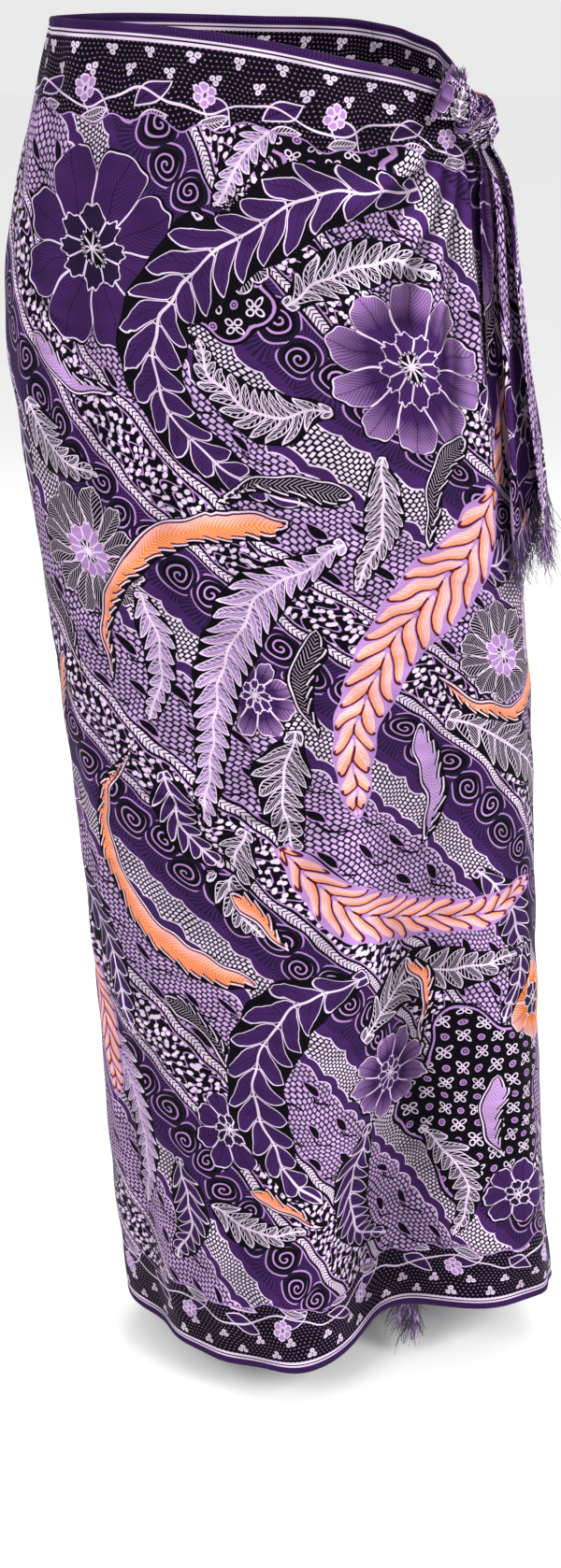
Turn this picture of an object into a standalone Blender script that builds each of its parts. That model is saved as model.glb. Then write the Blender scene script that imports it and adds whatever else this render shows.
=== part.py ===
"""Batik sarong, wound once and a half round the body and knotted at the hip.

One rectangle of thin cloth, fringed on its two short ends. The inner end lies under the front, the cloth
goes round the right side, the back and the left side, crosses the front, and its outer lap goes on round
the right side. Both upper corners meet in a knot over the right hip, as the viewer sees it.

Metres, +Z up, the front faces -Y. The origin is the middle of the waist opening. A place on the wound
cloth is given by its turn, in degrees from the middle of the front towards +X, and by its height.
"""
import math

import bmesh
import bpy
import numpy as np
from mathutils import Matrix, Vector

# The cloth
CLOTH_HEIGHT = 1.05      # from hem to hem, which is the width of the cloth
WALL = 0.0015            # thickness of one layer, as a wall that can be made
LAYER_STEP = 0.0044      # from the middle of the inner layer to the middle of the outer one
SEAM_GAP = 0.0003        # between neighbouring pieces
TAIL_GAP = 0.0006        # between a tail and its fringe, where the end is folded and slanted
STRIP_WIDTH = 0.0025     # woven edge that carries the fringe

# Plan of the wound cloth at each height: reach to the left, right, front and back of the origin
SECTION_COLUMNS = ("height", "left", "right", "front", "back")
SECTIONS = (
    (0.04, 0.131, 0.126, 0.090, 0.094),
    (0.00, 0.140, 0.135, 0.096, 0.100),
    (-0.05, 0.152, 0.147, 0.103, 0.109),
    (-0.10, 0.166, 0.159, 0.109, 0.119),
    (-0.19, 0.181, 0.169, 0.115, 0.130),
    (-0.30, 0.173, 0.184, 0.117, 0.131),
    (-0.39, 0.163, 0.199, 0.117, 0.127),
    (-0.51, 0.151, 0.212, 0.117, 0.122),
    (-0.64, 0.140, 0.221, 0.118, 0.119),
    (-0.78, 0.131, 0.230, 0.120, 0.119),
    (-0.92, 0.125, 0.240, 0.122, 0.122),
    (-1.06, 0.113, 0.256, 0.126, 0.128),
)

# Height of the waist edge and of the hem along the winding
EDGE_COLUMNS = ("turn", "waist", "hem")
OUTER_EDGES = (
    (-98.0, 0.000, -1.046),
    (-60.0, -0.002, -1.047),
    (-20.0, -0.007, -1.044),
    (0.0, -0.013, -1.040),
    (13.0, -0.019, -1.030),
    (24.0, -0.025, -1.022),
    (36.0, -0.030, -1.014),
    (48.0, -0.036, -1.010),
    (58.0, -0.043, -1.010),
    (68.0, -0.056, -1.016),
    (78.0, -0.100, -1.024),
    (95.0, -0.215, -1.036),
    (115.0, -0.330, -1.042),
    (140.0, -0.440, -1.046),
)
INNER_EDGES = (
    (0.0, -0.050, -1.030),
    (30.0, -0.048, -1.020),
    (60.0, -0.055, -1.004),
    (80.0, -0.044, -1.014),
    (100.0, -0.026, -1.028),
    (140.0, -0.004, -1.040),
    (180.0, 0.000, -1.046),
    (225.0, 0.002, -1.050),
    (262.0, 0.000, -1.046),
)

# Where the stretches begin and end. The front turns from the body's layer to the outer one over the
# start of the inner lap.
LEFT_SEAM = -98.0
BACK_SEAM = 140.0
LAYER_TURNS = (-16.0, 8.0)
ROUND_REACH = 0.165      # metres along the cloth for one radian of turn, at the knot and at the ends
END_COLUMNS = ("height", "turn")
OUTER_END = ((-0.30, 138.0), (-0.60, 134.0), (-1.05, 127.0))
INNER_END = ((0.00, 60.0), (-0.12, 53.0), (-0.35, 38.0), (-0.62, 28.0), (-0.88, 23.0), (-1.03, 27.0))

# Long soft folds. The turns and half_width are in degrees and depth is outwards. A fold grows from
# nothing at starts to its depth at full: most grow down to the hem, two grow up to the waist edge.
FOLD_COLUMNS = ("top_turn", "hem_turn", "starts", "full", "depth", "half_width")
FOLDS = (
    (46.0, 22.0, -0.30, -1.00, -0.050, 15.0),
    (20.0, 8.0, -0.72, -1.02, -0.030, 11.0),
    (70.0, 60.0, -0.45, -1.00, 0.012, 14.0),
    (4.0, -12.0, -0.55, -1.02, 0.012, 26.0),
    (-46.0, -62.0, -0.70, -1.03, -0.010, 12.0),
    (112.0, 104.0, -0.50, -1.00, -0.016, 12.0),
    (150.0, 150.0, -0.42, -1.00, 0.011, 13.0),
    (178.0, 176.0, -0.36, -0.98, -0.018, 13.0),
    (206.0, 208.0, -0.45, -1.02, 0.010, 12.0),
    (232.0, 238.0, -0.60, -1.02, -0.011, 11.0),
    (205.0, 200.0, -0.14, -0.03, -0.004, 9.0),
    (236.0, 232.0, -0.12, -0.02, -0.004, 8.0),
)

# The knot, and the folds that fan out of it over the outer lap. A direction is measured from straight
# down, towards the front.
KNOT_TURN = 61.5
KNOT_HEIGHT = -0.064
KNOT_LIFT = 0.004        # how far the outer lap is pulled off the body there
KNOT_LIFT_REACH = 0.05
KNOT_FALL = 0.75         # how steeply the knot's axis drops to the right
KNOT_CLEAR = 0.0004      # between the knot and the lap
CORE_HALF_LENGTH = 0.0200
CORE_RADIUS = 0.0135
CORE_WAIST = 0.0093
CORE_GATHERS = 6
CORE_GATHER_DEPTH = 0.07
TURN_RADIUS = 0.0156     # of the turn of cloth round the gathers, outside
TURN_HALF_THICKNESS = 0.0026
TURN_HALF_WIDTH = 0.0060
FAN_ROOT = (0.015, 0.070)     # distance from the knot over which the fan rises
FAN_COLUMNS = ("direction", "reach", "depth", "half_width")
FAN = (
    (-52.0, 0.26, 0.0045, 9.0),
    (-26.0, 0.34, 0.0060, 9.0),
    (0.0, 0.36, 0.0050, 7.0),
    (20.0, 0.34, 0.0060, 7.0),
    (42.0, 0.26, 0.0045, 8.0),
    (66.0, 0.20, 0.0035, 9.0),
)

# The two tails. A tail is the corner of the cloth folded to and fro, so its section is a zigzag.
TAIL_COLUMNS = ("x", "y", "z", "width", "depth")
LONG_TAIL = (
    (0.1600, -0.0485, -0.0798, 0.015, 0.0105),
    (0.1750, -0.0430, -0.1120, 0.026, 0.0130),
    (0.1835, -0.0380, -0.1760, 0.034, 0.0150),
    (0.1925, -0.0350, -0.2430, 0.040, 0.0190),
    (0.2010, -0.0330, -0.3050, 0.046, 0.0250),
    (0.2060, -0.0320, -0.3450, 0.050, 0.0290),
)
LONG_TAIL_ACROSS = (0.30, 0.95, 0.0)
SHORT_TAIL = (
    (0.1405, -0.0640, -0.0496, 0.013, 0.0095),
    (0.1390, -0.0650, -0.0445, 0.015, 0.0105),
)
SHORT_TAIL_ACROSS = (0.80, 0.60, 0.0)
LONG_TAIL_DROPS = (0.030, 0.012)     # slant of the end, from side to side and through the folds
TAIL_PASSES = 3
TAIL_TRIM = 0.20         # share of a pass that is missing at each end

# Fringe: locks of yarn with four sides, their roots in the strip: how many, their width and their length
TAIL_LOCKS = (42, 0.0018, 0.046)
SHORT_LOCKS = (9, 0.0016, 0.006)
OUTER_LOCKS = (46, 0.0022, 0.046)
INNER_LOCKS = (20, 0.0022, 0.046)
OUTER_SWAY = 0.45             # how far a lock swings off the cloth for each metre that it falls
INNER_SWAY = 0.40
INNER_ROWS = 4                # the inner fringe is made only this many rows up from the hem
LOCK_STEPS = (0.40, 1.00)     # where a lock bends, and its tip, as shares of its length
LOCK_TAPER = (0.95, 0.40)     # its size at each of them, as a share of the size before

# Grid of each stretch: the turns between which its columns are spread evenly, how many in each such
# run, and the rows down the cloth. The columns crowd together in the deep fold and below the knot.
FRONT_TURNS, FRONT_RUNS = (-98.0, -8.0, 78.0, 134.0), (13, 26, 12)
BACK_TURNS, BACK_RUNS = (140.0, 262.0), (20,)
INNER_TURNS, INNER_RUNS = (24.0, 78.0, 140.0), (16, 9)
ROWS = 20
LONG_TAIL_GRID = (22, 9)
SHORT_TAIL_GRID = (16, 3)

COLLECTION = "batik_sarong"
PURPLE = (0.055, 0.020, 0.150)
LILAC = (0.300, 0.170, 0.480)
NIGHT = (0.012, 0.009, 0.030)
CLOTH_ROUGHNESS = 0.75


def table(rows, columns):
    """The rows as a dictionary of arrays, one for each named column."""
    return dict(zip(columns, np.array(rows, float).T))


def smooth(at, knots, values):
    """Hermite curve through the values: each slope is the mean of the slopes on its two sides."""
    order = np.argsort(knots)
    knots = np.asarray(knots, float)[order]
    values = np.asarray(values, float)[order]
    slopes = np.gradient(values, knots)
    at = np.clip(at, knots[0], knots[-1])
    cell = np.clip(np.searchsorted(knots, at) - 1, 0, len(knots) - 2)
    step = knots[cell + 1] - knots[cell]
    part = (at - knots[cell]) / step
    value = (2 * part**3 - 3 * part**2 + 1) * values[cell] + (3 * part**2 - 2 * part**3) * values[cell + 1]
    bend = (part**3 - 2 * part**2 + part) * slopes[cell] + (part**3 - part**2) * slopes[cell + 1]
    return value + bend * step


def ramp(value, low, high):
    """0 at low, 1 at high, and a smooth step between."""
    part = np.clip((value - low) / (high - low), 0.0, 1.0)
    return part * part * (3.0 - 2.0 * part)


def section_frame(turn, height):
    """Point and outward direction of the plain section, an ellipse with its own reach on each side."""
    sizes = table(SECTIONS, SECTION_COLUMNS)
    left, right, front, back = (smooth(height, sizes["height"], sizes[side]) for side in SECTION_COLUMNS[1:])
    angle = np.radians(turn)
    half = (left + right) / 2
    depth = np.where(np.cos(angle) > 0, front, back)
    x = (right - left) / 2 + half * np.sin(angle)
    y = -depth * np.cos(angle)
    out_x = np.sin(angle) / half
    out_y = -np.cos(angle) / depth
    length = np.hypot(out_x, out_y)
    return x, y, out_x / length, out_y / length


def fold_depth(turn, height):
    """Sum of the long folds: each is a bell across the turn, with its middle moving down the cloth."""
    folds = table(FOLDS, FOLD_COLUMNS)
    total = np.zeros(np.broadcast(turn, height).shape)
    down = np.clip(height / SECTIONS[-1][0], 0.0, 1.0)
    for row in range(len(FOLDS)):
        fold = {name: values[row] for name, values in folds.items()}
        middle = fold["top_turn"] + (fold["hem_turn"] - fold["top_turn"]) * down
        apart = (turn - middle + 180.0) % 360.0 - 180.0
        strength = ramp(height, fold["starts"], fold["full"])
        total = total + fold["depth"] * strength * np.exp(-(apart / fold["half_width"])**2)
    return total


def fan_depth(turn, height):
    """Folds of the outer lap that run out of the knot, and the lift of the cloth at the knot."""
    fan = table(FAN, FAN_COLUMNS)
    side = np.radians(KNOT_TURN - turn) * ROUND_REACH
    down = KNOT_HEIGHT - height
    away = np.hypot(side, down)
    direction = np.degrees(np.arctan2(side, down))
    total = KNOT_LIFT * np.exp(-(away / KNOT_LIFT_REACH)**2)
    for row in range(len(FAN)):
        reach = fan["reach"][row]
        strength = ramp(away, *FAN_ROOT) * (1.0 - ramp(away, 0.35 * reach, reach))
        bell = np.exp(-((direction - fan["direction"][row]) / fan["half_width"][row])**2)
        total = total + fan["depth"][row] * strength * bell
    return total


def cloth_point(turn, height, layer=0.0):
    """Place on the wound cloth: the section, moved outwards by the folds and by the layer (0 inner, 1 outer).

    The layers lie further apart on the steep flank of a fold, so that the space between them stays even.
    """
    turn, height, layer = np.broadcast_arrays(turn, height, layer)
    x, y, out_x, out_y = section_frame(turn, height)
    flank = (fold_depth(turn + 1.0, height) - fold_depth(turn - 1.0, height)) / np.radians(2.0) / ROUND_REACH
    apart = LAYER_STEP * np.hypot(1.0, flank)
    moved = fold_depth(turn, height) + layer * (apart + fan_depth(turn, height))
    return np.stack([x + out_x * moved, y + out_y * moved, height], axis=-1)


def outer_layer(turn):
    """1 where the cloth lies on the inner lap, 0 where it lies on the body, with a soft step between."""
    return ramp(turn, *LAYER_TURNS)


def edge(rows, side, turn):
    """Height of the waist edge or the hem at a turn."""
    heights = table(rows, EDGE_COLUMNS)
    return smooth(turn, heights["turn"], heights[side])


def end_turn(rows, height):
    """Turn at which an end of the cloth hangs, at a height."""
    line = table(rows, END_COLUMNS)
    return smooth(height, line["height"], line["turn"])


def shares(turns, runs):
    """Shares of a stretch's turn at which its columns stand."""
    columns = [np.linspace(low, high, run, endpoint=False) for low, high, run in zip(turns, turns[1:], runs)]
    columns = np.concatenate(columns + [np.array(turns[-1:])])
    return (columns - turns[0]) / (turns[-1] - turns[0])


def stretch(rows, first, last, columns, fade=None):
    """Grid of turns, heights and layers between two ends, and between the waist edge and the hem.

    first and last are a turn, or the rows of a slanting end. The layer follows fade where it is given.
    """
    across, down = np.meshgrid(columns, np.linspace(0, 1, ROWS))
    height = -CLOTH_HEIGHT * down
    for _ in range(4):
        start = end_turn(first, height) if isinstance(first, tuple) else first
        stop = end_turn(last, height) if isinstance(last, tuple) else last
        turn = start + (stop - start) * across
        waist = edge(rows, "waist", turn)
        height = waist + (edge(rows, "hem", turn) - waist) * down
    layer = fade(turn) if fade else np.zeros(turn.shape)
    return turn, height, layer


def pulled_in(points, first_gap, last_gap):
    """The grid with its first and last column drawn back along the cloth, to leave the gap at a seam."""
    points = points.copy()
    for edge_column, inner_column, gap in ((0, 1, first_gap), (-1, -2, last_gap)):
        away = points[:, inner_column] - points[:, edge_column]
        points[:, edge_column] += away / np.linalg.norm(away, axis=1, keepdims=True) * gap
    return points


def material(name, colour):
    """Plain finish of a piece: its colour, the soft sheen of rayon, no metal."""
    made = bpy.data.materials.new(name)
    made.use_nodes = True
    shader = made.node_tree.nodes["Principled BSDF"]
    shader.inputs["Base Color"].default_value = (*colour, 1.0)
    shader.inputs["Roughness"].default_value = CLOTH_ROUGHNESS
    shader.inputs["Metallic"].default_value = 0.0
    return made


def add_object(name, mesh, collection, colour):
    """Links a finished mesh as the named piece."""
    mesh.materials.append(material(name, colour))
    mesh.shade_smooth()
    piece = bpy.data.objects.new(name, mesh)
    collection.objects.link(piece)
    return piece


def cloth_wall(name, points, collection, colour):
    """A stretch of cloth: an open surface through the grid of points, thickened by half a wall each way."""
    rows, columns = points.shape[:2]
    corner = np.arange(rows * columns).reshape(rows, columns)
    faces = np.stack([corner[:-1, :-1], corner[1:, :-1], corner[1:, 1:], corner[:-1, 1:]], -1).reshape(-1, 4)
    mesh = bpy.data.meshes.new(name)
    mesh.from_pydata(points.reshape(-1, 3).tolist(), [], faces.tolist())
    piece = add_object(name, mesh, collection, colour)
    wall = piece.modifiers.new("wall", "SOLIDIFY")
    wall.thickness = WALL
    wall.offset = 0.0
    wall.use_even_offset = True
    return piece


def fringe(name, roots, away, across, marks, paths, gap, collection, colour):
    """A comb of locks: a narrow strip beside the cloth's edge, and one lock out of each face marked for it.

    roots are points on the edge, away points off the cloth, across is the wall's own direction, marks
    says which stretches between roots carry a lock, and paths holds each lock's middle at bend and tip.
    """
    near = roots + away * gap
    far = near + away * STRIP_WIDTH
    half = across * WALL / 2
    rings = np.stack([near - half, near + half, far + half, far - half], axis=1)
    mesh = bmesh.new()
    verts = [[mesh.verts.new(corner) for corner in ring] for ring in rings]
    free_faces = []
    for one, other in zip(verts, verts[1:]):
        for side in range(4):
            after = (side + 1) % 4
            face = mesh.faces.new((one[side], one[after], other[after], other[side]))
            if side == 2:
                free_faces.append(face)
    mesh.faces.new(verts[0][::-1])
    mesh.faces.new(verts[-1])
    for face, path in zip([free_faces[place] for place in np.flatnonzero(marks)], paths):
        for place, size in zip(path, LOCK_TAPER):
            face = bmesh.ops.extrude_discrete_faces(mesh, faces=[face])["faces"][0]
            middle = face.calc_center_median()
            for vert in face.verts:
                vert.co = Vector(place) + (vert.co - middle) * size
    bmesh.ops.recalc_face_normals(mesh, faces=mesh.faces)
    data = bpy.data.meshes.new(name)
    mesh.to_mesh(data)
    mesh.free()
    return add_object(name, data, collection, colour)


def along_line(line):
    """Share of the line's length at each of its points."""
    steps = np.linalg.norm(np.diff(line, axis=0), axis=1)
    length = np.concatenate([[0.0], np.cumsum(steps)])
    return length / length[-1], length[-1]


def read_at(places, share, values):
    """Values along a line, read at other places on it."""
    values = np.asarray(values)
    if values.ndim == 1:
        return np.interp(places, share, values)
    return np.stack([np.interp(places, share, column) for column in values.T], axis=1)


def lock_places(share, length, count, width):
    """Shares of a line for the strip's sections: both sides of each lock, and the line's own corners.

    Returns the middles of the locks, the shares, and which stretches between them carry a lock.
    """
    middles = np.linspace(width, length - width, count) / length
    half = width / 2 / length
    clear = np.abs(share[:, None] - middles).min(axis=1) > 1.4 * half
    inside = (share > middles[0]) & (share < middles[-1])
    places = np.sort(np.concatenate([middles - half, middles + half, share[clear & inside]]))
    marks = np.abs((places[1:] + places[:-1])[:, None] / 2 - middles).min(axis=1) < 0.1 * half
    return middles, places, marks


def unit(vectors):
    """Each vector made one long."""
    return vectors / np.linalg.norm(vectors, axis=-1, keepdims=True)


def lengths_like(count, length):
    """Uneven lengths of the locks, up to a fifth shorter, from two waves that never repeat together."""
    index = np.arange(count)
    return length * (1.0 - 0.22 * (0.5 + 0.3 * np.sin(index * 2.4) + 0.2 * np.sin(index * 5.1)))


def zigzag(fold):
    """Angle of the to and fro of a tail, from just past one turn to just short of the last one."""
    return math.pi * (TAIL_TRIM + fold * (TAIL_PASSES - 2 * TAIL_TRIM))


def tail_surface(rows, across, grid):
    """The folded corner of the cloth: at each place down the tail the section is a zigzag.

    The zigzag is a cosine across the tail of three half waves, spread evenly through its depth.
    """
    sizes = table(rows, TAIL_COLUMNS)
    knots = np.linspace(0, 1, len(rows))
    fold, down = np.meshgrid(np.linspace(0, 1, grid[0]), np.linspace(0, 1, grid[1]))
    x, y, z, width, depth = (smooth(down, knots, sizes[name]) for name in TAIL_COLUMNS)
    across = unit(np.array(across, float))
    outward = np.array((across[1], -across[0], 0.0))
    spread = width / 2 * np.cos(zigzag(fold))
    stand = depth * (fold - 0.5)
    middle = np.stack([x, y, z], axis=-1)
    return middle + spread[..., None] * across + stand[..., None] * outward


def slanted_end(points, drops):
    """The tail with its free end cut at a slant: a drop from one side to the other, and one through its depth."""
    rows, columns = points.shape[:2]
    down = np.linspace(0, 1, rows)[:, None]
    fold = np.linspace(0, 1, columns)[None, :]
    points = points.copy()
    slope = drops[0] / 2 * np.cos(zigzag(fold)) + drops[1] * (fold - 0.5)
    points[..., 2] += slope * ramp(down, 0.3, 1.0)
    return points


def knot_frame():
    """Place and turn of the knot on the outer lap: its axis runs along the waist and tips down."""
    place = cloth_point(KNOT_TURN, KNOT_HEIGHT, outer_layer(KNOT_TURN))
    normal = section_frame(KNOT_TURN, KNOT_HEIGHT)[2:]
    outward = Vector((float(normal[0]), float(normal[1]), 0.0))
    along = Vector((-outward.y, outward.x, -KNOT_FALL)).normalized()
    side = along.cross(outward).normalized()
    frame = Matrix((side, outward, along)).transposed().to_4x4()
    frame.translation = Vector(place) + outward * (WALL / 2 + TURN_RADIUS + KNOT_CLEAR)
    return frame


def knot_core(frame, collection):
    """The gathered cloth inside the knot: a waisted lump with rounded ends and lengthwise gathers."""
    mesh = bmesh.new()
    bmesh.ops.create_uvsphere(mesh, u_segments=18, v_segments=12, radius=1.0)
    for vert in mesh.verts:
        angle = math.atan2(vert.co.y, vert.co.x)
        pinch = math.exp(-(vert.co.z / 0.60)**4)
        radius = math.hypot(vert.co.x, vert.co.y) * (CORE_RADIUS + (CORE_WAIST - CORE_RADIUS) * pinch)
        radius *= 1.0 + CORE_GATHER_DEPTH * math.cos(CORE_GATHERS * angle)
        vert.co = (radius * math.cos(angle), radius * math.sin(angle), vert.co.z * CORE_HALF_LENGTH)
    data = bpy.data.meshes.new("knot_core")
    mesh.to_mesh(data)
    mesh.free()
    add_object("knot_core", data, collection, PURPLE).matrix_world = frame


def knot_wrap(frame, collection):
    """The end of the cloth that is taken once round the gathers: a flattened ring in their waist."""
    plain = 2.0
    bpy.ops.mesh.primitive_torus_add(major_segments=22, minor_segments=10, major_radius=plain,
                                     minor_radius=1.0)
    torus = bpy.context.active_object
    data = torus.data
    data.name = "knot_wrap"
    bpy.data.objects.remove(torus)
    for vert in data.vertices:
        angle = math.atan2(vert.co.y, vert.co.x)
        ring = Vector((math.cos(angle), math.sin(angle), 0.0))
        off = vert.co - ring * plain
        swell = 1.0 + 0.18 * math.cos(angle - 0.6)
        reach = TURN_RADIUS + (off.dot(ring) - 1.0) * TURN_HALF_THICKNESS
        vert.co = ring * reach + Vector((0.0, 0.0, off.z * TURN_HALF_WIDTH * swell))
    add_object("knot_wrap", data, collection, NIGHT).matrix_world = frame


def wound_cloth(collection):
    """The three stretches of the wound cloth. Returns the grids of the two that carry a fringe."""
    grids = {}
    front = shares(FRONT_TURNS, FRONT_RUNS)
    back = shares(BACK_TURNS, BACK_RUNS)
    inner = shares(INNER_TURNS, INNER_RUNS)
    for name, rows, first, last, columns, fade, gaps, colour in (
        ("front_wrap", OUTER_EDGES, LEFT_SEAM, OUTER_END, front, outer_layer, (1, 0), PURPLE),
        ("back_wrap", INNER_EDGES, BACK_SEAM, 360.0 + LEFT_SEAM, back, None, (1, 1), NIGHT),
        ("inner_lap", INNER_EDGES, INNER_END, BACK_SEAM, inner, None, (0, 1), LILAC),
    ):
        turn, height, layer = stretch(rows, first, last, columns, fade)
        first_gap, last_gap = (SEAM_GAP / 2 * gap for gap in gaps)
        points = pulled_in(cloth_point(turn, height, layer), first_gap, last_gap)
        cloth_wall(name, points, collection, colour)
        grids[name] = (points, turn, height, layer)
    return grids["front_wrap"], grids["inner_lap"]


def edge_fringe(name, grid, column, rows, locks, sway, collection):
    """Fringe down one end of a stretch: the strip follows the end, the locks fall along the cloth.

    grid holds the points, turns, heights and layers of the stretch.
    """
    count, width, longest = locks
    points, turn, height, layer = grid
    line = points[rows, column]
    inside = points[rows, column + (1 if column == 0 else -1)]
    share, length = along_line(line)
    middles, places, marks = lock_places(share, length, count, width)
    roots = read_at(places, share, line)
    away = read_at(places, share, unit(line - inside))
    along = unit(np.gradient(roots, axis=0))
    away = unit(away - along * np.sum(away * along, axis=1, keepdims=True))
    across = unit(np.cross(along, away))
    long = lengths_like(count, longest)
    side = -1.0 if column == 0 else 1.0
    paths = []
    for reach in LOCK_STEPS:
        off = STRIP_WIDTH + sway * long * reach
        swung = read_at(middles, share, turn[rows, column]) + side * np.degrees(off / ROUND_REACH)
        low = read_at(middles, share, height[rows, column]) - long * reach
        paths.append(cloth_point(swung, low, read_at(middles, share, layer[rows, column])))
    fringe(name, roots, away, across, marks, np.stack(paths, axis=1), SEAM_GAP, collection, NIGHT)


def tail(name, rows, across, grid, drops, locks, collection, colour):
    """One corner of the cloth that comes out of the knot, folded to a zigzag, with fringe at its end."""
    surface = slanted_end(tail_surface(rows, across, grid), drops)
    cloth_wall(name, surface, collection, colour)
    count, width, longest = locks
    share, length = along_line(surface[-1])
    middles, places, marks = lock_places(share, length, count, width)
    roots = read_at(places, share, surface[-1])
    ahead = unit(surface[-1] - surface[-2])
    fall = unit(np.mean(ahead, axis=0))
    along = unit(np.gradient(roots, axis=0))
    away = read_at(places, share, ahead)
    away = unit(away - along * np.sum(along * away, axis=1, keepdims=True))
    across = unit(np.cross(along, away))
    start = read_at(middles, share, surface[-1])
    long = lengths_like(count, longest)[:, None]
    paths = np.stack([start + fall * (STRIP_WIDTH + long * reach) for reach in LOCK_STEPS], axis=1)
    fringe("fringe_" + name, roots, away, across, marks, paths, TAIL_GAP, collection, NIGHT)


def build():
    """The whole sarong."""
    for old in list(bpy.data.objects):
        bpy.data.objects.remove(old, do_unlink=True)
    collection = bpy.data.collections.new(COLLECTION)
    bpy.context.scene.collection.children.link(collection)
    front, inner = wound_cloth(collection)
    edge_fringe("fringe_outer", front, -1, slice(1, None), OUTER_LOCKS, OUTER_SWAY, collection)
    edge_fringe("fringe_inner", inner, 0, slice(-INNER_ROWS, None), INNER_LOCKS, INNER_SWAY, collection)
    frame = knot_frame()
    knot_core(frame, collection)
    knot_wrap(frame, collection)
    tail("tail_long", LONG_TAIL, LONG_TAIL_ACROSS, LONG_TAIL_GRID, LONG_TAIL_DROPS, TAIL_LOCKS, collection,
         PURPLE)
    tail("tail_short", SHORT_TAIL, SHORT_TAIL_ACROSS, SHORT_TAIL_GRID, (0.0, 0.0), SHORT_LOCKS, collection,
         NIGHT)


build()
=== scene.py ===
"""Batik sarong, wound low round the hips and knotted at the right hip."""
import math

import bpy
import numpy as np
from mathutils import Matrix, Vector


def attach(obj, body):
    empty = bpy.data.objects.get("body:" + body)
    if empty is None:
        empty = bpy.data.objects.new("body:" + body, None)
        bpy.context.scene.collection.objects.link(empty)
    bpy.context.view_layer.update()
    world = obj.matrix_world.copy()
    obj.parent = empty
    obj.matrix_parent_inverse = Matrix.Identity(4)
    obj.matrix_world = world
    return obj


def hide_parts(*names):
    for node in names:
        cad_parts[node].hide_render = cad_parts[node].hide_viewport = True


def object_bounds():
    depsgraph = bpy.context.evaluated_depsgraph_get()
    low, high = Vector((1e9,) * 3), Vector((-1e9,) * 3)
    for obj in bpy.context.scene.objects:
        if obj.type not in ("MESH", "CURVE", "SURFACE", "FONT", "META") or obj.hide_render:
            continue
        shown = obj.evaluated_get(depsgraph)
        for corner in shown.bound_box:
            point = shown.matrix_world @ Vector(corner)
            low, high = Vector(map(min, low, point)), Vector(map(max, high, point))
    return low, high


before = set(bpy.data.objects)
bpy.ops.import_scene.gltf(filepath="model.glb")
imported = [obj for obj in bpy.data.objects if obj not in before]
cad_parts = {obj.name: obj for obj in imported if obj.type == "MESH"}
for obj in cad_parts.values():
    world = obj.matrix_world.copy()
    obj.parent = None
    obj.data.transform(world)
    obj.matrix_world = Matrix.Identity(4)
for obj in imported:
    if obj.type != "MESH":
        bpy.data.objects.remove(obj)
cad_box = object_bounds()

# Front of the sarong: one width of thin printed rayon, taken from the left side across the front and on
# over the inner lap to the right. It is a plain rectangle, held only by the knot, so it falls in long soft
# folds, and its two long edges are narrow rolled hems.

SECTION_COLUMNS = ("height", "left", "right", "front", "back")
SECTIONS = (
    (0.04, 0.131, 0.126, 0.090, 0.094),
    (0.00, 0.140, 0.135, 0.096, 0.100),
    (-0.05, 0.152, 0.147, 0.103, 0.109),
    (-0.10, 0.166, 0.159, 0.109, 0.119),
    (-0.19, 0.181, 0.169, 0.115, 0.130),
    (-0.30, 0.173, 0.184, 0.117, 0.131),
    (-0.39, 0.163, 0.199, 0.117, 0.127),
    (-0.51, 0.151, 0.212, 0.117, 0.122),
    (-0.64, 0.140, 0.221, 0.118, 0.119),
    (-0.78, 0.131, 0.230, 0.120, 0.119),
    (-0.92, 0.125, 0.240, 0.122, 0.122),
    (-1.06, 0.113, 0.256, 0.126, 0.128),
)
CLOTH_HEIGHT = 1.05
CLOTH_THICKNESS = 0.0007
LAYER_STEP = 0.0044
LAYER_TURNS = (-16.0, 8.0)
ROUND_REACH = 0.165
RUMPLE = 0.0011
# Depth of a crease below its neighbours at which its painted shade is full.
PAINTED_SHADE_DEPTH = 0.0008

EDGE_COLUMNS = ("turn", "waist", "hem")
OUTER_EDGES = (
    (-98.0, 0.000, -1.046),
    (-60.0, -0.002, -1.047),
    (-20.0, -0.007, -1.044),
    (0.0, -0.013, -1.040),
    (13.0, -0.019, -1.030),
    (24.0, -0.025, -1.022),
    (36.0, -0.030, -1.014),
    (48.0, -0.036, -1.010),
    (58.0, -0.043, -1.010),
    (68.0, -0.056, -1.016),
    (78.0, -0.100, -1.024),
    (95.0, -0.215, -1.036),
    (115.0, -0.330, -1.042),
    (140.0, -0.440, -1.046),
)
INNER_EDGES = (
    (0.0, -0.050, -1.030),
    (30.0, -0.048, -1.020),
    (60.0, -0.055, -1.004),
    (80.0, -0.044, -1.014),
    (100.0, -0.026, -1.028),
    (140.0, -0.004, -1.040),
    (180.0, 0.000, -1.046),
    (225.0, 0.002, -1.050),
    (262.0, 0.000, -1.046),
)
LEFT_SEAM = -98.0
BACK_SEAM = 140.0
END_COLUMNS = ("height", "turn")
OUTER_END = ((-0.30, 138.0), (-0.60, 134.0), (-1.05, 127.0))
INNER_END = ((0.00, 60.0), (-0.12, 53.0), (-0.35, 38.0), (-0.62, 28.0), (-0.88, 23.0), (-1.03, 27.0))

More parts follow.
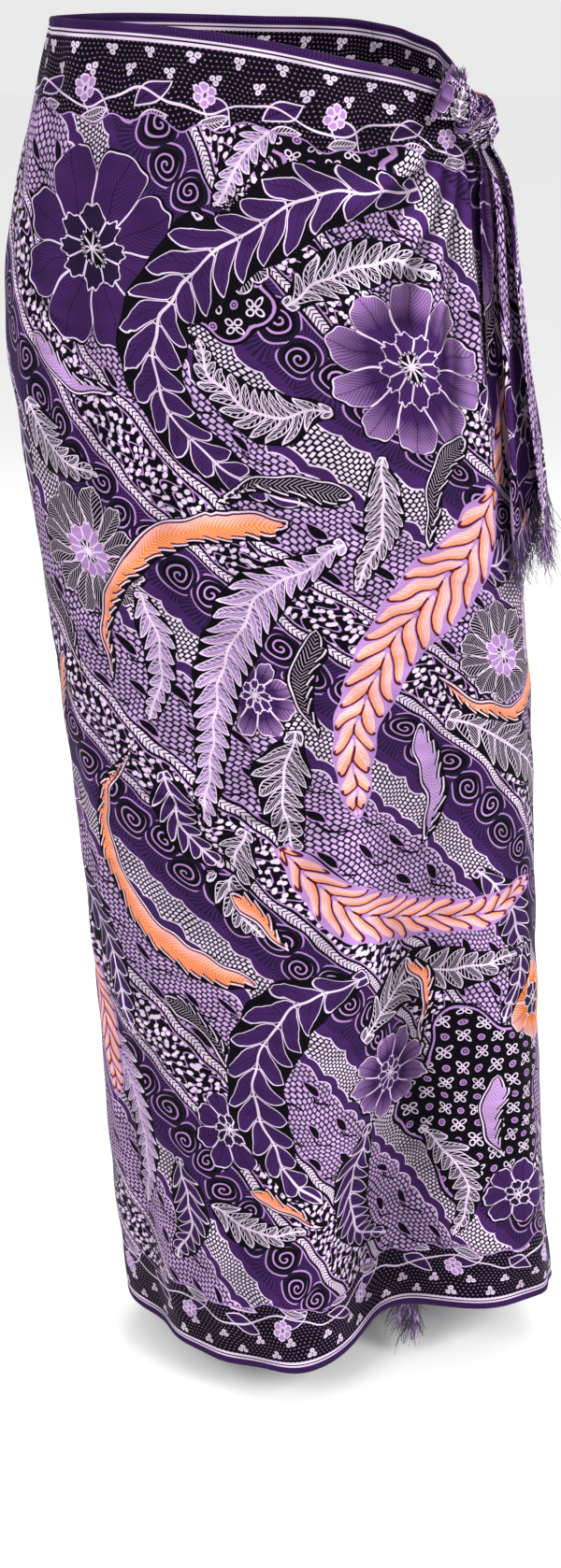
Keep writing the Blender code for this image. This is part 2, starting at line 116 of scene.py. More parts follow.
FOLD_COLUMNS = ("top_turn", "hem_turn", "starts", "full", "depth", "half_width")
FOLDS = (
    (46.0, 22.0, -0.30, -1.00, -0.050, 15.0),
    (20.0, 8.0, -0.72, -1.02, -0.030, 11.0),
    (70.0, 60.0, -0.45, -1.00, 0.012, 14.0),
    (4.0, -12.0, -0.55, -1.02, 0.012, 26.0),
    (-46.0, -62.0, -0.70, -1.03, -0.010, 12.0),
    (112.0, 104.0, -0.50, -1.00, -0.016, 12.0),
    (150.0, 150.0, -0.42, -1.00, 0.011, 13.0),
    (178.0, 176.0, -0.36, -0.98, -0.018, 13.0),
    (206.0, 208.0, -0.45, -1.02, 0.010, 12.0),
    (232.0, 238.0, -0.60, -1.02, -0.011, 11.0),
    (205.0, 200.0, -0.14, -0.03, -0.004, 9.0),
    (236.0, 232.0, -0.12, -0.02, -0.004, 8.0),
)

KNOT_TURN = 61.5
KNOT_HEIGHT = -0.064
KNOT_LIFT = 0.004
KNOT_LIFT_REACH = 0.05
FAN_ROOT = (0.015, 0.070)
FAN_COLUMNS = ("direction", "reach", "depth", "half_width")
FAN = (
    (-52.0, 0.26, 0.0050, 8.0),
    (-26.0, 0.34, 0.0068, 8.0),
    (0.0, 0.36, 0.0060, 6.0),
    (20.0, 0.34, 0.0070, 6.0),
    (42.0, 0.28, 0.0060, 6.5),
    (66.0, 0.24, 0.0050, 7.0),
)

# Smaller creases, each a straight soft trough or ridge from one place on the cloth to another.
# turn, height, the other end's turn, its height, depth, half width
CREASES = (
    (-72.0, -0.165, -42.0, -0.205, -0.0022, 0.0036),
    (-50.0, -0.545, 8.0, -0.566, -0.0022, 0.0034),
    (-66.0, -0.550, -46.0, -0.545, 0.0012, 0.0060),
    (44.0, -0.135, 38.0, -0.205, -0.0022, 0.0060),
    (52.0, -0.165, 42.0, -0.245, 0.0024, 0.0070),
    (56.0, -0.190, 50.0, -0.300, -0.0022, 0.0065),
    (36.0, -0.075, 10.0, -0.085, -0.0016, 0.0060),
    (46.0, -0.085, 24.0, -0.120, 0.0018, 0.0070),
    (-84.0, -0.060, -60.0, -0.110, 0.0014, 0.0080),
    (-30.0, -0.300, -8.0, -0.520, -0.0012, 0.0120),
    (-70.0, -0.380, -58.0, -0.640, 0.0016, 0.0130),
    (-88.0, -0.300, -80.0, -0.700, -0.0016, 0.0120),
    (10.0, -0.400, 16.0, -0.640, 0.0014, 0.0130),
    (58.0, -0.420, 62.0, -0.760, -0.0016, 0.0110),
    (78.0, -0.260, 82.0, -0.520, 0.0018, 0.0100),
    (92.0, -0.330, 92.0, -0.760, -0.0018, 0.0100),
    (-20.0, -0.760, -30.0, -0.960, 0.0014, 0.0140),
    (118.0, -0.420, 116.0, -0.800, 0.0016, 0.0110),
    (158.0, -0.040, 165.0, -0.330, -0.0018, 0.0120),
    (190.0, -0.100, 186.0, -0.440, 0.0016, 0.0130),
    (214.0, -0.060, 222.0, -0.280, -0.0016, 0.0100),
    (250.0, -0.080, 244.0, -0.420, 0.0016, 0.0120),
    (170.0, -0.540, 212.0, -0.556, -0.0014, 0.0045),
    (55.0, -0.070, 22.0, -0.072, -0.0026, 0.0042),
    (54.0, -0.086, 28.0, -0.122, -0.0030, 0.0044),
    (55.0, -0.100, 35.0, -0.165, 0.0030, 0.0052),
    (57.0, -0.112, 43.0, -0.215, -0.0032, 0.0048),
    (59.0, -0.122, 51.0, -0.250, 0.0028, 0.0052),
    (62.0, -0.125, 60.0, -0.270, -0.0028, 0.0050),
)


def table(rows, columns):
    """The rows as a dictionary of arrays, one for each named column."""
    return dict(zip(columns, np.array(rows, float).T))


def smooth(at, knots, values):
    """Hermite curve through the values: each slope is the mean of the slopes on its two sides."""
    order = np.argsort(knots)
    knots = np.asarray(knots, float)[order]
    values = np.asarray(values, float)[order]
    slopes = np.gradient(values, knots)
    at = np.clip(at, knots[0], knots[-1])
    cell = np.clip(np.searchsorted(knots, at) - 1, 0, len(knots) - 2)
    step = knots[cell + 1] - knots[cell]
    part = (at - knots[cell]) / step
    value = (2 * part**3 - 3 * part**2 + 1) * values[cell] + (3 * part**2 - 2 * part**3) * values[cell + 1]
    bend = (part**3 - 2 * part**2 + part) * slopes[cell] + (part**3 - part**2) * slopes[cell + 1]
    return value + bend * step


def ramp(value, low, high):
    """0 at low, 1 at high, and a smooth step between."""
    part = np.clip((value - low) / (high - low), 0.0, 1.0)
    return part * part * (3.0 - 2.0 * part)


def section_frame(turn, height):
    """Point and outward direction of the plain section, an ellipse with its own reach on each side."""
    sizes = table(SECTIONS, SECTION_COLUMNS)
    left, right, front, back = (smooth(height, sizes["height"], sizes[side]) for side in SECTION_COLUMNS[1:])
    angle = np.radians(turn)
    half = (left + right) / 2
    depth = np.where(np.cos(angle) > 0, front, back)
    x = (right - left) / 2 + half * np.sin(angle)
    y = -depth * np.cos(angle)
    out_x = np.sin(angle) / half
    out_y = -np.cos(angle) / depth
    length = np.hypot(out_x, out_y)
    return x, y, out_x / length, out_y / length


def fold_depth(turn, height):
    """Sum of the long folds: each is a bell across the turn, with its middle moving down the cloth."""
    folds = table(FOLDS, FOLD_COLUMNS)
    total = np.zeros(np.broadcast(turn, height).shape)
    down = np.clip(height / SECTIONS[-1][0], 0.0, 1.0)
    for row in range(len(FOLDS)):
        fold = {name: values[row] for name, values in folds.items()}
        middle = fold["top_turn"] + (fold["hem_turn"] - fold["top_turn"]) * down
        apart = (turn - middle + 180.0) % 360.0 - 180.0
        strength = ramp(height, fold["starts"], fold["full"])
        total = total + fold["depth"] * strength * np.exp(-(apart / fold["half_width"])**2)
    return total


def crease_depth(turn, height):
    """Sum of the small creases: each is a bell across a straight line that fades out at both its ends.

    The line wanders a little, and its depth comes and goes along it.
    """
    total = np.zeros(np.broadcast(turn, height).shape)
    for turn_0, height_0, turn_1, height_1, depth, half_width in CREASES:
        side = np.radians((turn - turn_0 + 180.0) % 360.0 - 180.0) * ROUND_REACH
        run_side = np.radians(turn_1 - turn_0) * ROUND_REACH
        drop = height - height_0
        run_drop = height_1 - height_0
        length = math.hypot(run_side, run_drop)
        share = (side * run_side + drop * run_drop) / length**2
        across = (side * run_drop - drop * run_side) / length
        across = across + 0.18 * half_width * np.sin(share * 9.0 + turn_0)
        ends = ramp(share, -0.05, 0.28) * (1.0 - ramp(share, 0.66, 1.08))
        uneven = 0.8 + 0.2 * np.sin(share * 14.0 + height_0 * 40.0)
        total = total + depth * ends * uneven * np.exp(-(across / half_width)**2)
    return total


def fan_depth(turn, height):
    """Folds of the outer lap that run out of the knot, and the lift of the cloth at the knot."""
    fan = table(FAN, FAN_COLUMNS)
    side = np.radians(KNOT_TURN - turn) * ROUND_REACH
    down = KNOT_HEIGHT - height
    away = np.hypot(side, down)
    direction = np.degrees(np.arctan2(side, down))
    total = KNOT_LIFT * np.exp(-(away / KNOT_LIFT_REACH)**2)
    for row in range(len(FAN)):
        reach = fan["reach"][row]
        strength = ramp(away, *FAN_ROOT) * (1.0 - ramp(away, 0.35 * reach, reach))
        bell = np.exp(-((direction - fan["direction"][row]) / fan["half_width"][row])**2)
        total = total + fan["depth"][row] * strength * bell
    return total


def rumple(turn, height):
    """Soft shallow ripples all over the hung cloth: two sums of waves, each of which comes and goes."""
    side = np.radians(turn) * ROUND_REACH
    upright = np.sin(side * 118.0 + 2.4 * np.sin(height * 8.0) + 1.3)
    upright = upright * (0.55 + 0.45 * np.sin(side * 21.0 + height * 9.0))
    slanting = np.sin(side * 74.0 + height * 83.0 + 1.6 * np.sin(side * 17.0))
    slanting = slanting * np.sin(height * 13.0 + side * 7.0)
    return RUMPLE * (upright + 0.7 * slanting)


def relief(turn, height, layer):
    """How far the cloth stands out from the plain section.

    Layer 0 lies on the body and layer 1 on the lap below. The layers lie further apart on the steep flank
    of a fold, so that the space between them stays even.
    """
    flank = (fold_depth(turn + 1.0, height) - fold_depth(turn - 1.0, height)) / np.radians(2.0) / ROUND_REACH
    apart = LAYER_STEP * np.hypot(1.0, flank)
    moved = fold_depth(turn, height) + crease_depth(turn, height) + rumple(turn, height)
    return moved + layer * (apart + fan_depth(turn, height))


def cloth_point(turn, height, layer=0.0):
    """Place on the wound cloth: a point of the section, moved outwards by the relief."""
    turn, height, layer = np.broadcast_arrays(turn, height, layer)
    x, y, out_x, out_y = section_frame(turn, height)
    moved = relief(turn, height, layer)
    return np.stack([x + out_x * moved, y + out_y * moved, height], axis=-1)


def painted_crease_shade(turn, height, layer):
    """Painted shade: 1 in the bottom of a crease and -1 on a ridge, by how far the cloth lies below its
    neighbours.
    """
    around = 0.0
    for turn_off, height_off in ((2.6, 0.0), (-2.6, 0.0), (0.0, 0.0075), (0.0, -0.0075)):
        around = around + relief(turn + turn_off, height + height_off, layer) / 4.0
    return np.clip((around - relief(turn, height, layer)) / PAINTED_SHADE_DEPTH, -1.0, 1.0)


def outer_layer(turn):
    """1 where the cloth lies on the inner lap, 0 where it lies on the body, with a soft step between."""
    return ramp(turn, *LAYER_TURNS)


def edge(rows, side, turn):
    """Height of the waist edge or the hem at a turn."""
    heights = table(rows, EDGE_COLUMNS)
    return smooth(turn, heights["turn"], heights[side])


def end_turn(rows, height):
    """Turn at which an end of the cloth hangs, at a height."""
    line = table(rows, END_COLUMNS)
    return smooth(height, line["height"], line["turn"])


def stretch(rows, first, last, grid):
    """Grid of turns and heights between two ends, and between the waist edge and the hem.

    first and last are a turn, or the rows of a slanting end.
    """
    across, down = np.meshgrid(np.linspace(0, 1, grid[0] + 1), np.linspace(0, 1, grid[1] + 1))
    height = -CLOTH_HEIGHT * down
    for _ in range(4):
        start = end_turn(first, height) if isinstance(first, tuple) else first
        stop = end_turn(last, height) if isinstance(last, tuple) else last
        turn = start + (stop - start) * across
        waist = edge(rows, "waist", turn)
        height = waist + (edge(rows, "hem", turn) - waist) * down
    return turn, height


# The same cloth lying flat: metres along it from a line down the front, and metres up from the hem.
KNOT_SIDE = 58.0
FLAT_TURNS = np.arange(-340.0, 146.0, 1.0)
FLAT_HEIGHTS = np.linspace(0.0, -1.06, 54)


def flat_lengths():
    """Length along the cloth at each height, summed turn by turn from the front line, as a whole grid."""
    turn, height = np.meshgrid(FLAT_TURNS, FLAT_HEIGHTS)
    points = cloth_point(turn, height)
    steps = np.linalg.norm(np.diff(points, axis=1), axis=2)
    length = np.concatenate([np.zeros((len(steps), 1)), np.cumsum(steps, axis=1)], axis=1)
    front = int(np.argmin(np.abs(FLAT_TURNS + 20.0)))
    return length - length[:, front:front + 1]


FLAT_LENGTHS = flat_lengths()


def flat_place(turn, height, rows):
    """Metres along the flat cloth and up from its hem, read between the four nearest grid places."""
    wound = turn - 360.0 if rows is INNER_EDGES else turn
    column = np.clip(wound - FLAT_TURNS[0], 0, len(FLAT_TURNS) - 1.001)
    row = np.clip(-height / (FLAT_HEIGHTS[0] - FLAT_HEIGHTS[1]), 0, len(FLAT_HEIGHTS) - 1.001)
    left = column.astype(int)
    top = row.astype(int)
    right_share = column - left
    low_share = row - top
    upper = FLAT_LENGTHS[top, left] * (1 - right_share) + FLAT_LENGTHS[top, left + 1] * right_share
    lower = FLAT_LENGTHS[top + 1, left] * (1 - right_share) + FLAT_LENGTHS[top + 1, left + 1] * right_share
    hem = edge(rows, "hem", turn)
    waist = edge(rows, "waist", np.minimum(turn, KNOT_SIDE) if rows is OUTER_EDGES else turn)
    up = CLOTH_HEIGHT * (height - hem) / (waist - hem)
    return upper * (1 - low_share) + lower * low_share, up


# The drawing on the cloth. The places are metres along and up the flat cloth, and the whole drawing
# repeats along it. Each layer lies over the one before: blossoms, leaf sprays, plumes, saw-edged leaves.
REPEAT = 0.62
REPEATS = (-2, -1, 0, 1)
MOAT = 0.0055
STEM_PIECES = 44
BORDER_REACH = 0.072
BLOSSOM_ROOM = 0.05
STEM_ROOM = 0.03
MOTIF_ROOM = 0.010

# along, up, radius, petals, finish
BLOSSOM_PLACES = (
    (-0.048, 0.905, 0.066, 8, 0),
    (0.176, 0.838, 0.062, 10, 1),
    (-0.080, 0.688, 0.048, 12, 2),
    (0.040, 0.590, 0.030, 8, 1),
    (0.236, 0.612, 0.042, 10, 2),
    (-0.172, 0.470, 0.036, 8, 1),
    (-0.008, 0.222, 0.034, 8, 0),
    (0.132, 0.248, 0.040, 9, 1),
    (0.268, 0.296, 0.036, 6, 3),
    (0.250, 0.112, 0.032, 7, 0),
    (0.330, 0.720, 0.044, 8, 0),
    (0.060, 0.905, 0.020, 6, 2),
    (-0.190, 0.135, 0.040, 9, 2),
    (0.330, 0.480, 0.034, 9, 0),
)

# half width, space between leaflets, finish, and the stem's places along and up
SPRAYS = (
    (0.036, 0.0210, 0, ((0.170, 0.968), (0.095, 0.950), (0.020, 0.890), (-0.004, 0.825), (0.030, 0.765),
                        (0.092, 0.735))),
    (0.022, 0.0100, 1, ((0.112, 0.806), (0.070, 0.800), (0.040, 0.822), (0.030, 0.850))),
    (0.024, 0.0115, 2, ((0.112, 0.705), (0.050, 0.668), (0.012, 0.600), (-0.004, 0.515), (-0.022, 0.455))),
    (0.034, 0.0230, 0, ((0.098, 0.352), (0.042, 0.330), (0.014, 0.268), (0.030, 0.200), (0.062, 0.160))),
    (0.024, 0.0150, 0, ((-0.190, 0.420), (-0.150, 0.400), (-0.112, 0.350), (-0.096, 0.285))),
    (0.030, 0.0170, 1, ((0.190, 0.560), (0.236, 0.536), (0.282, 0.498), (0.300, 0.440))),
    (0.022, 0.0150, 0, ((0.205, 0.420), (0.240, 0.380), (0.246, 0.330), (0.228, 0.280))),
    (0.028, 0.0180, 0, ((0.262, 0.985), (0.276, 0.925), (0.262, 0.860), (0.232, 0.800))),
    (0.013, 0.0090, 2, ((0.072, 1.000), (0.054, 0.972), (0.036, 0.940))),
    (0.026, 0.0130, 1, ((0.062, 0.560), (0.050, 0.515), (0.060, 0.462))),
    (0.024, 0.0120, 2, ((-0.150, 0.300), (-0.110, 0.240), (-0.096, 0.180), (-0.110, 0.120))),
    (0.020, 0.0130, 1, ((0.168, 0.178), (0.196, 0.148), (0.206, 0.105), (0.196, 0.075))),
    (0.022, 0.0140, 0, ((-0.186, 0.815), (-0.158, 0.780), (-0.146, 0.735), (-0.158, 0.690))),
    (0.018, 0.0090, 2, ((0.270, 0.700), (0.282, 0.660), (0.276, 0.600))),
    (0.026, 0.0160, 0, ((0.350, 0.640), (0.366, 0.580), (0.350, 0.520))),
    (0.020, 0.0120, 1, ((-0.030, 0.150), (0.010, 0.130), (0.050, 0.135))),
    (0.028, 0.0170, 0, ((0.352, 0.985), (0.372, 0.925), (0.354, 0.860))),
    (0.018, 0.0110, 2, ((-0.040, 0.660), (-0.030, 0.610), (-0.045, 0.560))),
    (0.024, 0.0120, 1, ((0.018, 0.480), (0.004, 0.430), (0.030, 0.395))),
    (0.030, 0.0150, 1, ((0.108, 0.300), (0.150, 0.330), (0.205, 0.335), (0.240, 0.345))),
    (0.026, 0.0140, 0, ((0.110, 0.205), (0.096, 0.160), (0.106, 0.105), (0.140, 0.080))),
    (0.024, 0.0130, 0, ((-0.040, 0.520), (-0.030, 0.480), (-0.002, 0.450))),
    (0.026, 0.0120, 1, ((-0.120, 0.790), (-0.100, 0.760), (-0.062, 0.745))),
    (0.024, 0.0130, 0, ((0.210, 0.690), (0.246, 0.690), (0.290, 0.712))),
    (0.022, 0.0110, 1, ((0.092, 0.880), (0.120, 0.905), (0.160, 0.915), (0.200, 0.905))),
    (0.022, 0.0130, 0, ((-0.060, 0.180), (-0.050, 0.130), (-0.070, 0.085))),
)
PLUMES = (
    (0.034, 0.0190, 3, ((0.238, 0.742), (0.205, 0.690), (0.152, 0.640), (0.112, 0.570), (0.104, 0.490))),
    (0.028, 0.0165, 3, ((0.052, 0.468), (0.088, 0.420), (0.146, 0.390), (0.208, 0.386), (0.262, 0.412))),
    (0.025, 0.0145, 3, ((-0.200, 0.345), (-0.165, 0.330), (-0.135, 0.280), (-0.132, 0.210))),
    (0.023, 0.0140, 3, ((-0.214, 0.950), (-0.196, 0.890), (-0.200, 0.830), (-0.214, 0.780))),
    (0.016, 0.0110, 1, ((0.150, 0.770), (0.142, 0.715), (0.118, 0.675))),
)

# half width, finish, and the places of the middle line
SAW_LEAVES = (
    (0.0135, 0, ((0.078, 0.722), (0.020, 0.718), (-0.036, 0.690), (-0.070, 0.640), (-0.074, 0.590))),
    (0.0130, 0, ((0.020, 0.352), (-0.042, 0.372), (-0.092, 0.420), (-0.100, 0.486), (-0.062, 0.540))),
    (0.0125, 0, ((0.322, 0.650), (0.268, 0.566), (0.214, 0.566), (0.176, 0.596))),
    (0.0070, 0, ((0.150, 0.352), (0.168, 0.318), (0.166, 0.262))),
    (0.0090, 0, ((0.006, 0.172), (0.036, 0.158), (0.062, 0.134))),
    (0.0095, 0, ((0.004, 0.430), (0.028, 0.412), (0.046, 0.384))),
    (0.0080, 0, ((-0.128, 0.600), (-0.148, 0.560), (-0.146, 0.520))),
    (0.0120, 1, ((0.218, 0.790), (0.190, 0.756), (0.178, 0.700))),
    (0.0110, 1, ((0.124, 0.744), (0.070, 0.752), (0.028, 0.736))),
    (0.0110, 1, ((0.090, 0.640), (0.072, 0.600), (0.080, 0.560))),
    (0.0100, 1, ((-0.060, 0.330), (-0.024, 0.310), (-0.008, 0.276))),
    (0.0120, 2, ((0.160, 0.560), (0.172, 0.500), (0.160, 0.450))),
    (0.0120, 2, ((0.230, 0.230), (0.222, 0.180), (0.236, 0.150))),
    (0.0110, 1, ((-0.150, 0.660), (-0.120, 0.630), (-0.106, 0.590))),
    (0.0120, 0, ((0.352, 0.420), (0.372, 0.370), (0.356, 0.320), (0.320, 0.300))),
    (0.0110, 2, ((-0.100, 0.842), (-0.070, 0.812), (-0.030, 0.808))),
)

# along, up, half length, half height of the patches of four-petalled rosettes
ROSETTE_PATCHES = (
    (0.215, 0.205, 0.060, 0.085),
    (0.110, 0.985, 0.040, 0.020),
    (0.050, 0.880, 0.028, 0.024),
    (-0.180, 0.600, 0.034, 0.034),
    (0.345, 0.150, 0.040, 0.060),
)


def beside_stem(places, x, y):
    """How far along a stem and across it each point lies, and the stem's whole length.

    The stem is a smooth curve through its places, cut into short straight pieces. A point belongs to the
    piece that it is nearest to, and the first and last piece run on past their ends.
    """
    knots = np.linspace(0, 1, len(places))
    at = np.linspace(0, 1, STEM_PIECES + 1)
    line_x, line_y = (smooth(at, knots, [place[axis] for place in places]) for axis in (0, 1))
    step_x, step_y = np.diff(line_x), np.diff(line_y)
    long = np.hypot(step_x, step_y)
    share = ((x[:, None] - line_x[:-1]) * step_x + (y[:, None] - line_y[:-1]) * step_y) / long**2
    kept = np.clip(share, 0.0, 1.0)
    kept[:, 0] = np.minimum(share[:, 0], 1.0)
    kept[:, -1] = np.maximum(share[:, -1], 0.0)
    off_x = x[:, None] - line_x[:-1] - kept * step_x
    off_y = y[:, None] - line_y[:-1] - kept * step_y
    away = np.hypot(off_x, off_y)
    point = np.arange(len(x))
    piece = away.argmin(axis=1)
    past = (share - kept)[point, piece] * long[piece]
    started = np.concatenate([[0.0], np.cumsum(long)])
    along = started[piece] + kept[point, piece] * long[piece] + past
    side = np.sign(step_x[piece] * off_y[point, piece] - step_y[piece] * off_x[point, piece])
    return along, side * away[point, piece], started[-1]


def settle(layer, near, inside, place, look):
    """Adds one motif to its layer, over what is there: a point goes to the motif that it is deeper in.

    What lies under it is cut back by a narrow moat, so that two motifs of a layer never touch.
    """
    cut = np.minimum(layer["inside"][near], -(inside + MOAT))
    owned = inside > cut
    mine = np.flatnonzero(near)[owned]
    layer["inside"][near] = np.maximum(inside, cut)
    for name, values in place.items():
        layer[name][mine] = values[owned]
    for name, value in look.items():
        layer[name][mine] = value


def empty_layer(count, **starts):
    """A layer that holds no motif yet: each point lies outside, and the other values have their starts."""
    return {name: np.full(count, float(value)) for name, value in {"inside": -1.0, **starts}.items()}


def drawing(x, y):
    """What the printed drawing is at each place: for each layer, where the point lies in its motif."""
    x = x.ravel()
    y = y.ravel()
    blossoms = empty_layer(len(x), x=0, y=0, radius=1, petals=8, finish=0)
    layers = {"blossom": blossoms}
    for shift in REPEATS:
        for place_x, place_y, radius, petals, finish in BLOSSOM_PLACES:
            off_x = x - place_x - shift * REPEAT
            off_y = y - place_y
            away = np.hypot(off_x, off_y)
            near = away < radius + BLOSSOM_ROOM
            if near.any():
                settle(blossoms, near, (radius * 1.02 - away)[near], {"x": off_x[near], "y": off_y[near]},
                       {"radius": radius, "petals": petals, "finish": finish})
    for name, rows in (("spray", SPRAYS), ("plume", PLUMES), ("saw", SAW_LEAVES)):
        layers[name] = empty_layer(len(x), along=0, across=1, finish=0, pitch=1)
        for shift in REPEATS:
            for row in rows:
                half, finish, stem = row[0], row[-2], row[-1]
                pitch = row[1] if len(row) == 4 else 0.0
                stem_x = [place[0] + shift * REPEAT for place in stem]
                stem_y = [place[1] for place in stem]
                room = half + STEM_ROOM
                near = (x > min(stem_x) - room) & (x < max(stem_x) + room)
                near &= (y > min(stem_y) - room) & (y < max(stem_y) + room)
                if not near.any():
                    continue
                along, across, length = beside_stem(list(zip(stem_x, stem_y)), x[near], y[near])
                share = np.clip(along / length, 0.0, 1.0)
                grown, tip = (2.3 * share**0.5, 0.55) if name == "saw" else (0.25 + 2.6 * share, 0.5)
                width = half * np.minimum(1.0, grown) * (1.0 - share)**tip
                inside = width - np.abs(across)
                inside = np.minimum(inside, np.minimum(along, length - along) + half * 0.2)
                settle(layers[name], near, inside, {"along": along, "across": across},
                       {"finish": finish, "pitch": pitch})
    shown = np.max([layer["inside"] for layer in layers.values()], axis=0)
    patch = np.full(len(x), -1.0)
    for shift in REPEATS:
        for place_x, place_y, half_x, half_y in ROSETTE_PATCHES:
            off_x = (x - place_x - shift * REPEAT) / half_x
            off_y = (y - place_y) / half_y
            lobes = 1.0 + 0.16 * np.sin(5.0 * np.arctan2(off_y, off_x) + place_x * 50.0)
            patch = np.maximum(patch, (lobes - np.hypot(off_x, off_y)) * min(half_x, half_y))
    layers["patch"] = patch
    in_border = np.minimum(y, CLOTH_HEIGHT - y) < BORDER_REACH
    layers["kind"] = np.where(in_border, 2, np.maximum(shown, patch) > -MOTIF_ROOM)
    return layers


HAND_QUICK = 0.0011
HAND_SLOW = 0.0016


def by_hand(x, y):
    """The flat places shifted a little to and fro, as wax lines drawn by hand are, but not at the hems."""
    free = ramp(np.minimum(y, CLOTH_HEIGHT - y), 0.010, 0.030)
    off_x = HAND_QUICK * np.sin(y * 190.0 + 2.0 * np.sin(x * 61.0))
    off_x = off_x + HAND_SLOW * np.sin(x * 83.0 - y * 47.0)
    off_y = HAND_QUICK * np.sin(x * 205.0 + 2.0 * np.sin(y * 57.0) + 1.0)
    off_y = off_y + HAND_SLOW * np.sin(y * 79.0 + x * 43.0)
    return x + off_x, y + off_y * free


UV_MARGIN = 0.01


def print_on(mesh, x, y, painted_shade=None):
    """Puts the drawing's layers and the flat place on a mesh, as attributes and as its UV map, and any painted
    shade as an attribute.

    Each face wears the plainest of the printed materials that shows all that is drawn on it.
    """
    x, y = by_hand(x, y)
    layers = drawing(x, y)
    blossom = layers["blossom"]
    columns = {
        "cloth_flat": (x.ravel(), y.ravel(), layers["patch"]),
        "blossom_place": (blossom["x"], blossom["y"], blossom["inside"]),
        "blossom_look": (blossom["radius"], blossom["petals"], blossom["finish"]),
    }
    for name in ("spray", "plume", "saw"):
        layer = layers[name]
        columns[name + "_place"] = (layer["along"], layer["across"], layer["inside"])
        columns[name + "_look"] = (layer["pitch"], layer["finish"], x.ravel() * 0)
    # Painted shade: the material darkens the print by it in creases and lightens it on ridges.
    if painted_shade is not None:
        depth = mesh.attributes.new("cloth_painted_shade", "FLOAT", "POINT")
        depth.data.foreach_set("value", painted_shade.astype(np.float32).ravel())
    for name, values in columns.items():
        attribute = mesh.attributes.new(name, "FLOAT_VECTOR", "POINT")
        attribute.data.foreach_set("vector", np.stack(values, axis=-1).astype(np.float32).ravel())
    corner = np.zeros(len(mesh.loops), np.int32)
    mesh.loops.foreach_get("vertex_index", corner)
    for material in PRINTED:
        mesh.materials.append(material)
    kind = layers["kind"][corner].reshape(-1, 4).max(axis=1)
    mesh.polygons.foreach_set("material_index", kind.astype(np.int32))
    places = np.stack([(flat.ravel() - flat.min()) / np.ptp(flat) for flat in (x, y)], axis=-1)[corner]
    uv_map = mesh.uv_layers.new(name="OFBake")
    uv_map.data.foreach_set("uv", (places * (1.0 - 2.0 * UV_MARGIN) + UV_MARGIN).astype(np.float32).ravel())


def grid_mesh(name, points):
    """A smooth open mesh through a grid of points, its faces turned out."""
    rows, columns = points.shape[:2]
    corner = np.arange(rows * columns).reshape(rows, columns)
    faces = np.stack([corner[:-1, :-1], corner[1:, :-1], corner[1:, 1:], corner[:-1, 1:]], -1).reshape(-1, 4)
    mesh = bpy.data.meshes.new(name)
    mesh.from_pydata(points.reshape(-1, 3), [], faces)
    mesh.shade_smooth()
    return mesh


def add_piece(name, mesh, slot, *nodes):
    """A finished piece: it rides with the part and stands for its solids, which it hides. Its slot is not
    used.
    """
    piece = bpy.data.objects.new(name, mesh)
    bpy.context.scene.collection.objects.link(piece)
    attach(piece, "root")
    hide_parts(*nodes)
    return piece


def thin_wall(piece):
    """Gives an open sheet the thickness of the cloth, half of it to each side."""
    wall = piece.modifiers.new("cloth", "SOLIDIFY")
    wall.thickness = CLOTH_THICKNESS
    wall.offset = 0.0
    wall.use_even_offset = False
    return piece


# The print itself is drawn by shader groups from those places. Wax outlines stay pale, fields are dyed.
def feed(node, inputs=(), **named):
    """Gives a node's inputs their values: a wire is led in, anything else is set on the input itself."""
    for place, value in {**dict(inputs), **named}.items():
        if isinstance(value, Wire):
            node.id_data.links.new(value.socket, node.inputs[place])
        else:
            node.inputs[place].default_value = value


class Wire:
    """A value inside a shader tree. A sum, product or other step with it is one Math node."""

    def __init__(self, tree, socket):
        self.tree = tree
        self.socket = socket

    def step(self, operation, *others, clamp=False):
        """The value after one Math node."""
        node = self.tree.nodes.new("ShaderNodeMath")
        node.operation = operation
        node.use_clamp = clamp
        feed(node, enumerate((self, *others)))
        return Wire(self.tree, node.outputs[0])

    def __add__(self, other):
        return self.step("ADD", other)

    def __sub__(self, other):
        return self.step("SUBTRACT", other)

    def __mul__(self, other):
        return self.step("MULTIPLY", other)

    def __truediv__(self, other):
        return self.step("DIVIDE", other)

    def __neg__(self):
        return self.step("MULTIPLY", -1.0)

    def __abs__(self):
        return self.step("ABSOLUTE")

    def above(self, limit, blur):
        """0 up to the limit and 1 from a blur above it."""
        return self.step("MULTIPLY_ADD", 1.0 / blur, -limit / blur, clamp=True)

    def under(self, limit, blur):
        """1 up to the limit and 0 from a blur above it."""
        return self.step("MULTIPLY_ADD", -1.0 / blur, limit / blur + 1.0, clamp=True)

    def turned(self, factor, offset):
        """The value times a factor, plus an offset."""
        return self.step("MULTIPLY_ADD", factor, offset)

    def part(self):
        """What is left of the value after its whole number."""
        return self.step("FRACT")

    def strokes(self, pitch, share, blur):
        """1 on strokes that follow each other at a pitch, each over a share of it."""
        return (self / pitch).part().under(share, blur)

    def painted(self, *layers):
        """This colour, with others laid over it one after the other, each where its mask is 1."""
        colour = self
        for over, mask in layers:
            colour = mixed(self.tree, colour, over, mask)
        return colour


def new_group(name, inputs, outputs):
    """An empty shader group with named inputs and outputs: its tree, its input wires and its end node."""
    tree = bpy.data.node_groups.new(name, "ShaderNodeTree")
    for label, start in inputs.items():
        socket = tree.interface.new_socket(name=label, in_out="INPUT", socket_type="NodeSocketFloat")
        socket.default_value = start
    for label in outputs:
        kind = "NodeSocketColor" if label == "Colour" else "NodeSocketFloat"
        tree.interface.new_socket(name=label, in_out="OUTPUT", socket_type=kind)
    node = tree.nodes.new("NodeGroupInput")
    wires = {label: Wire(tree, node.outputs[label]) for label in inputs}
    return tree, wires, tree.nodes.new("NodeGroupOutput")


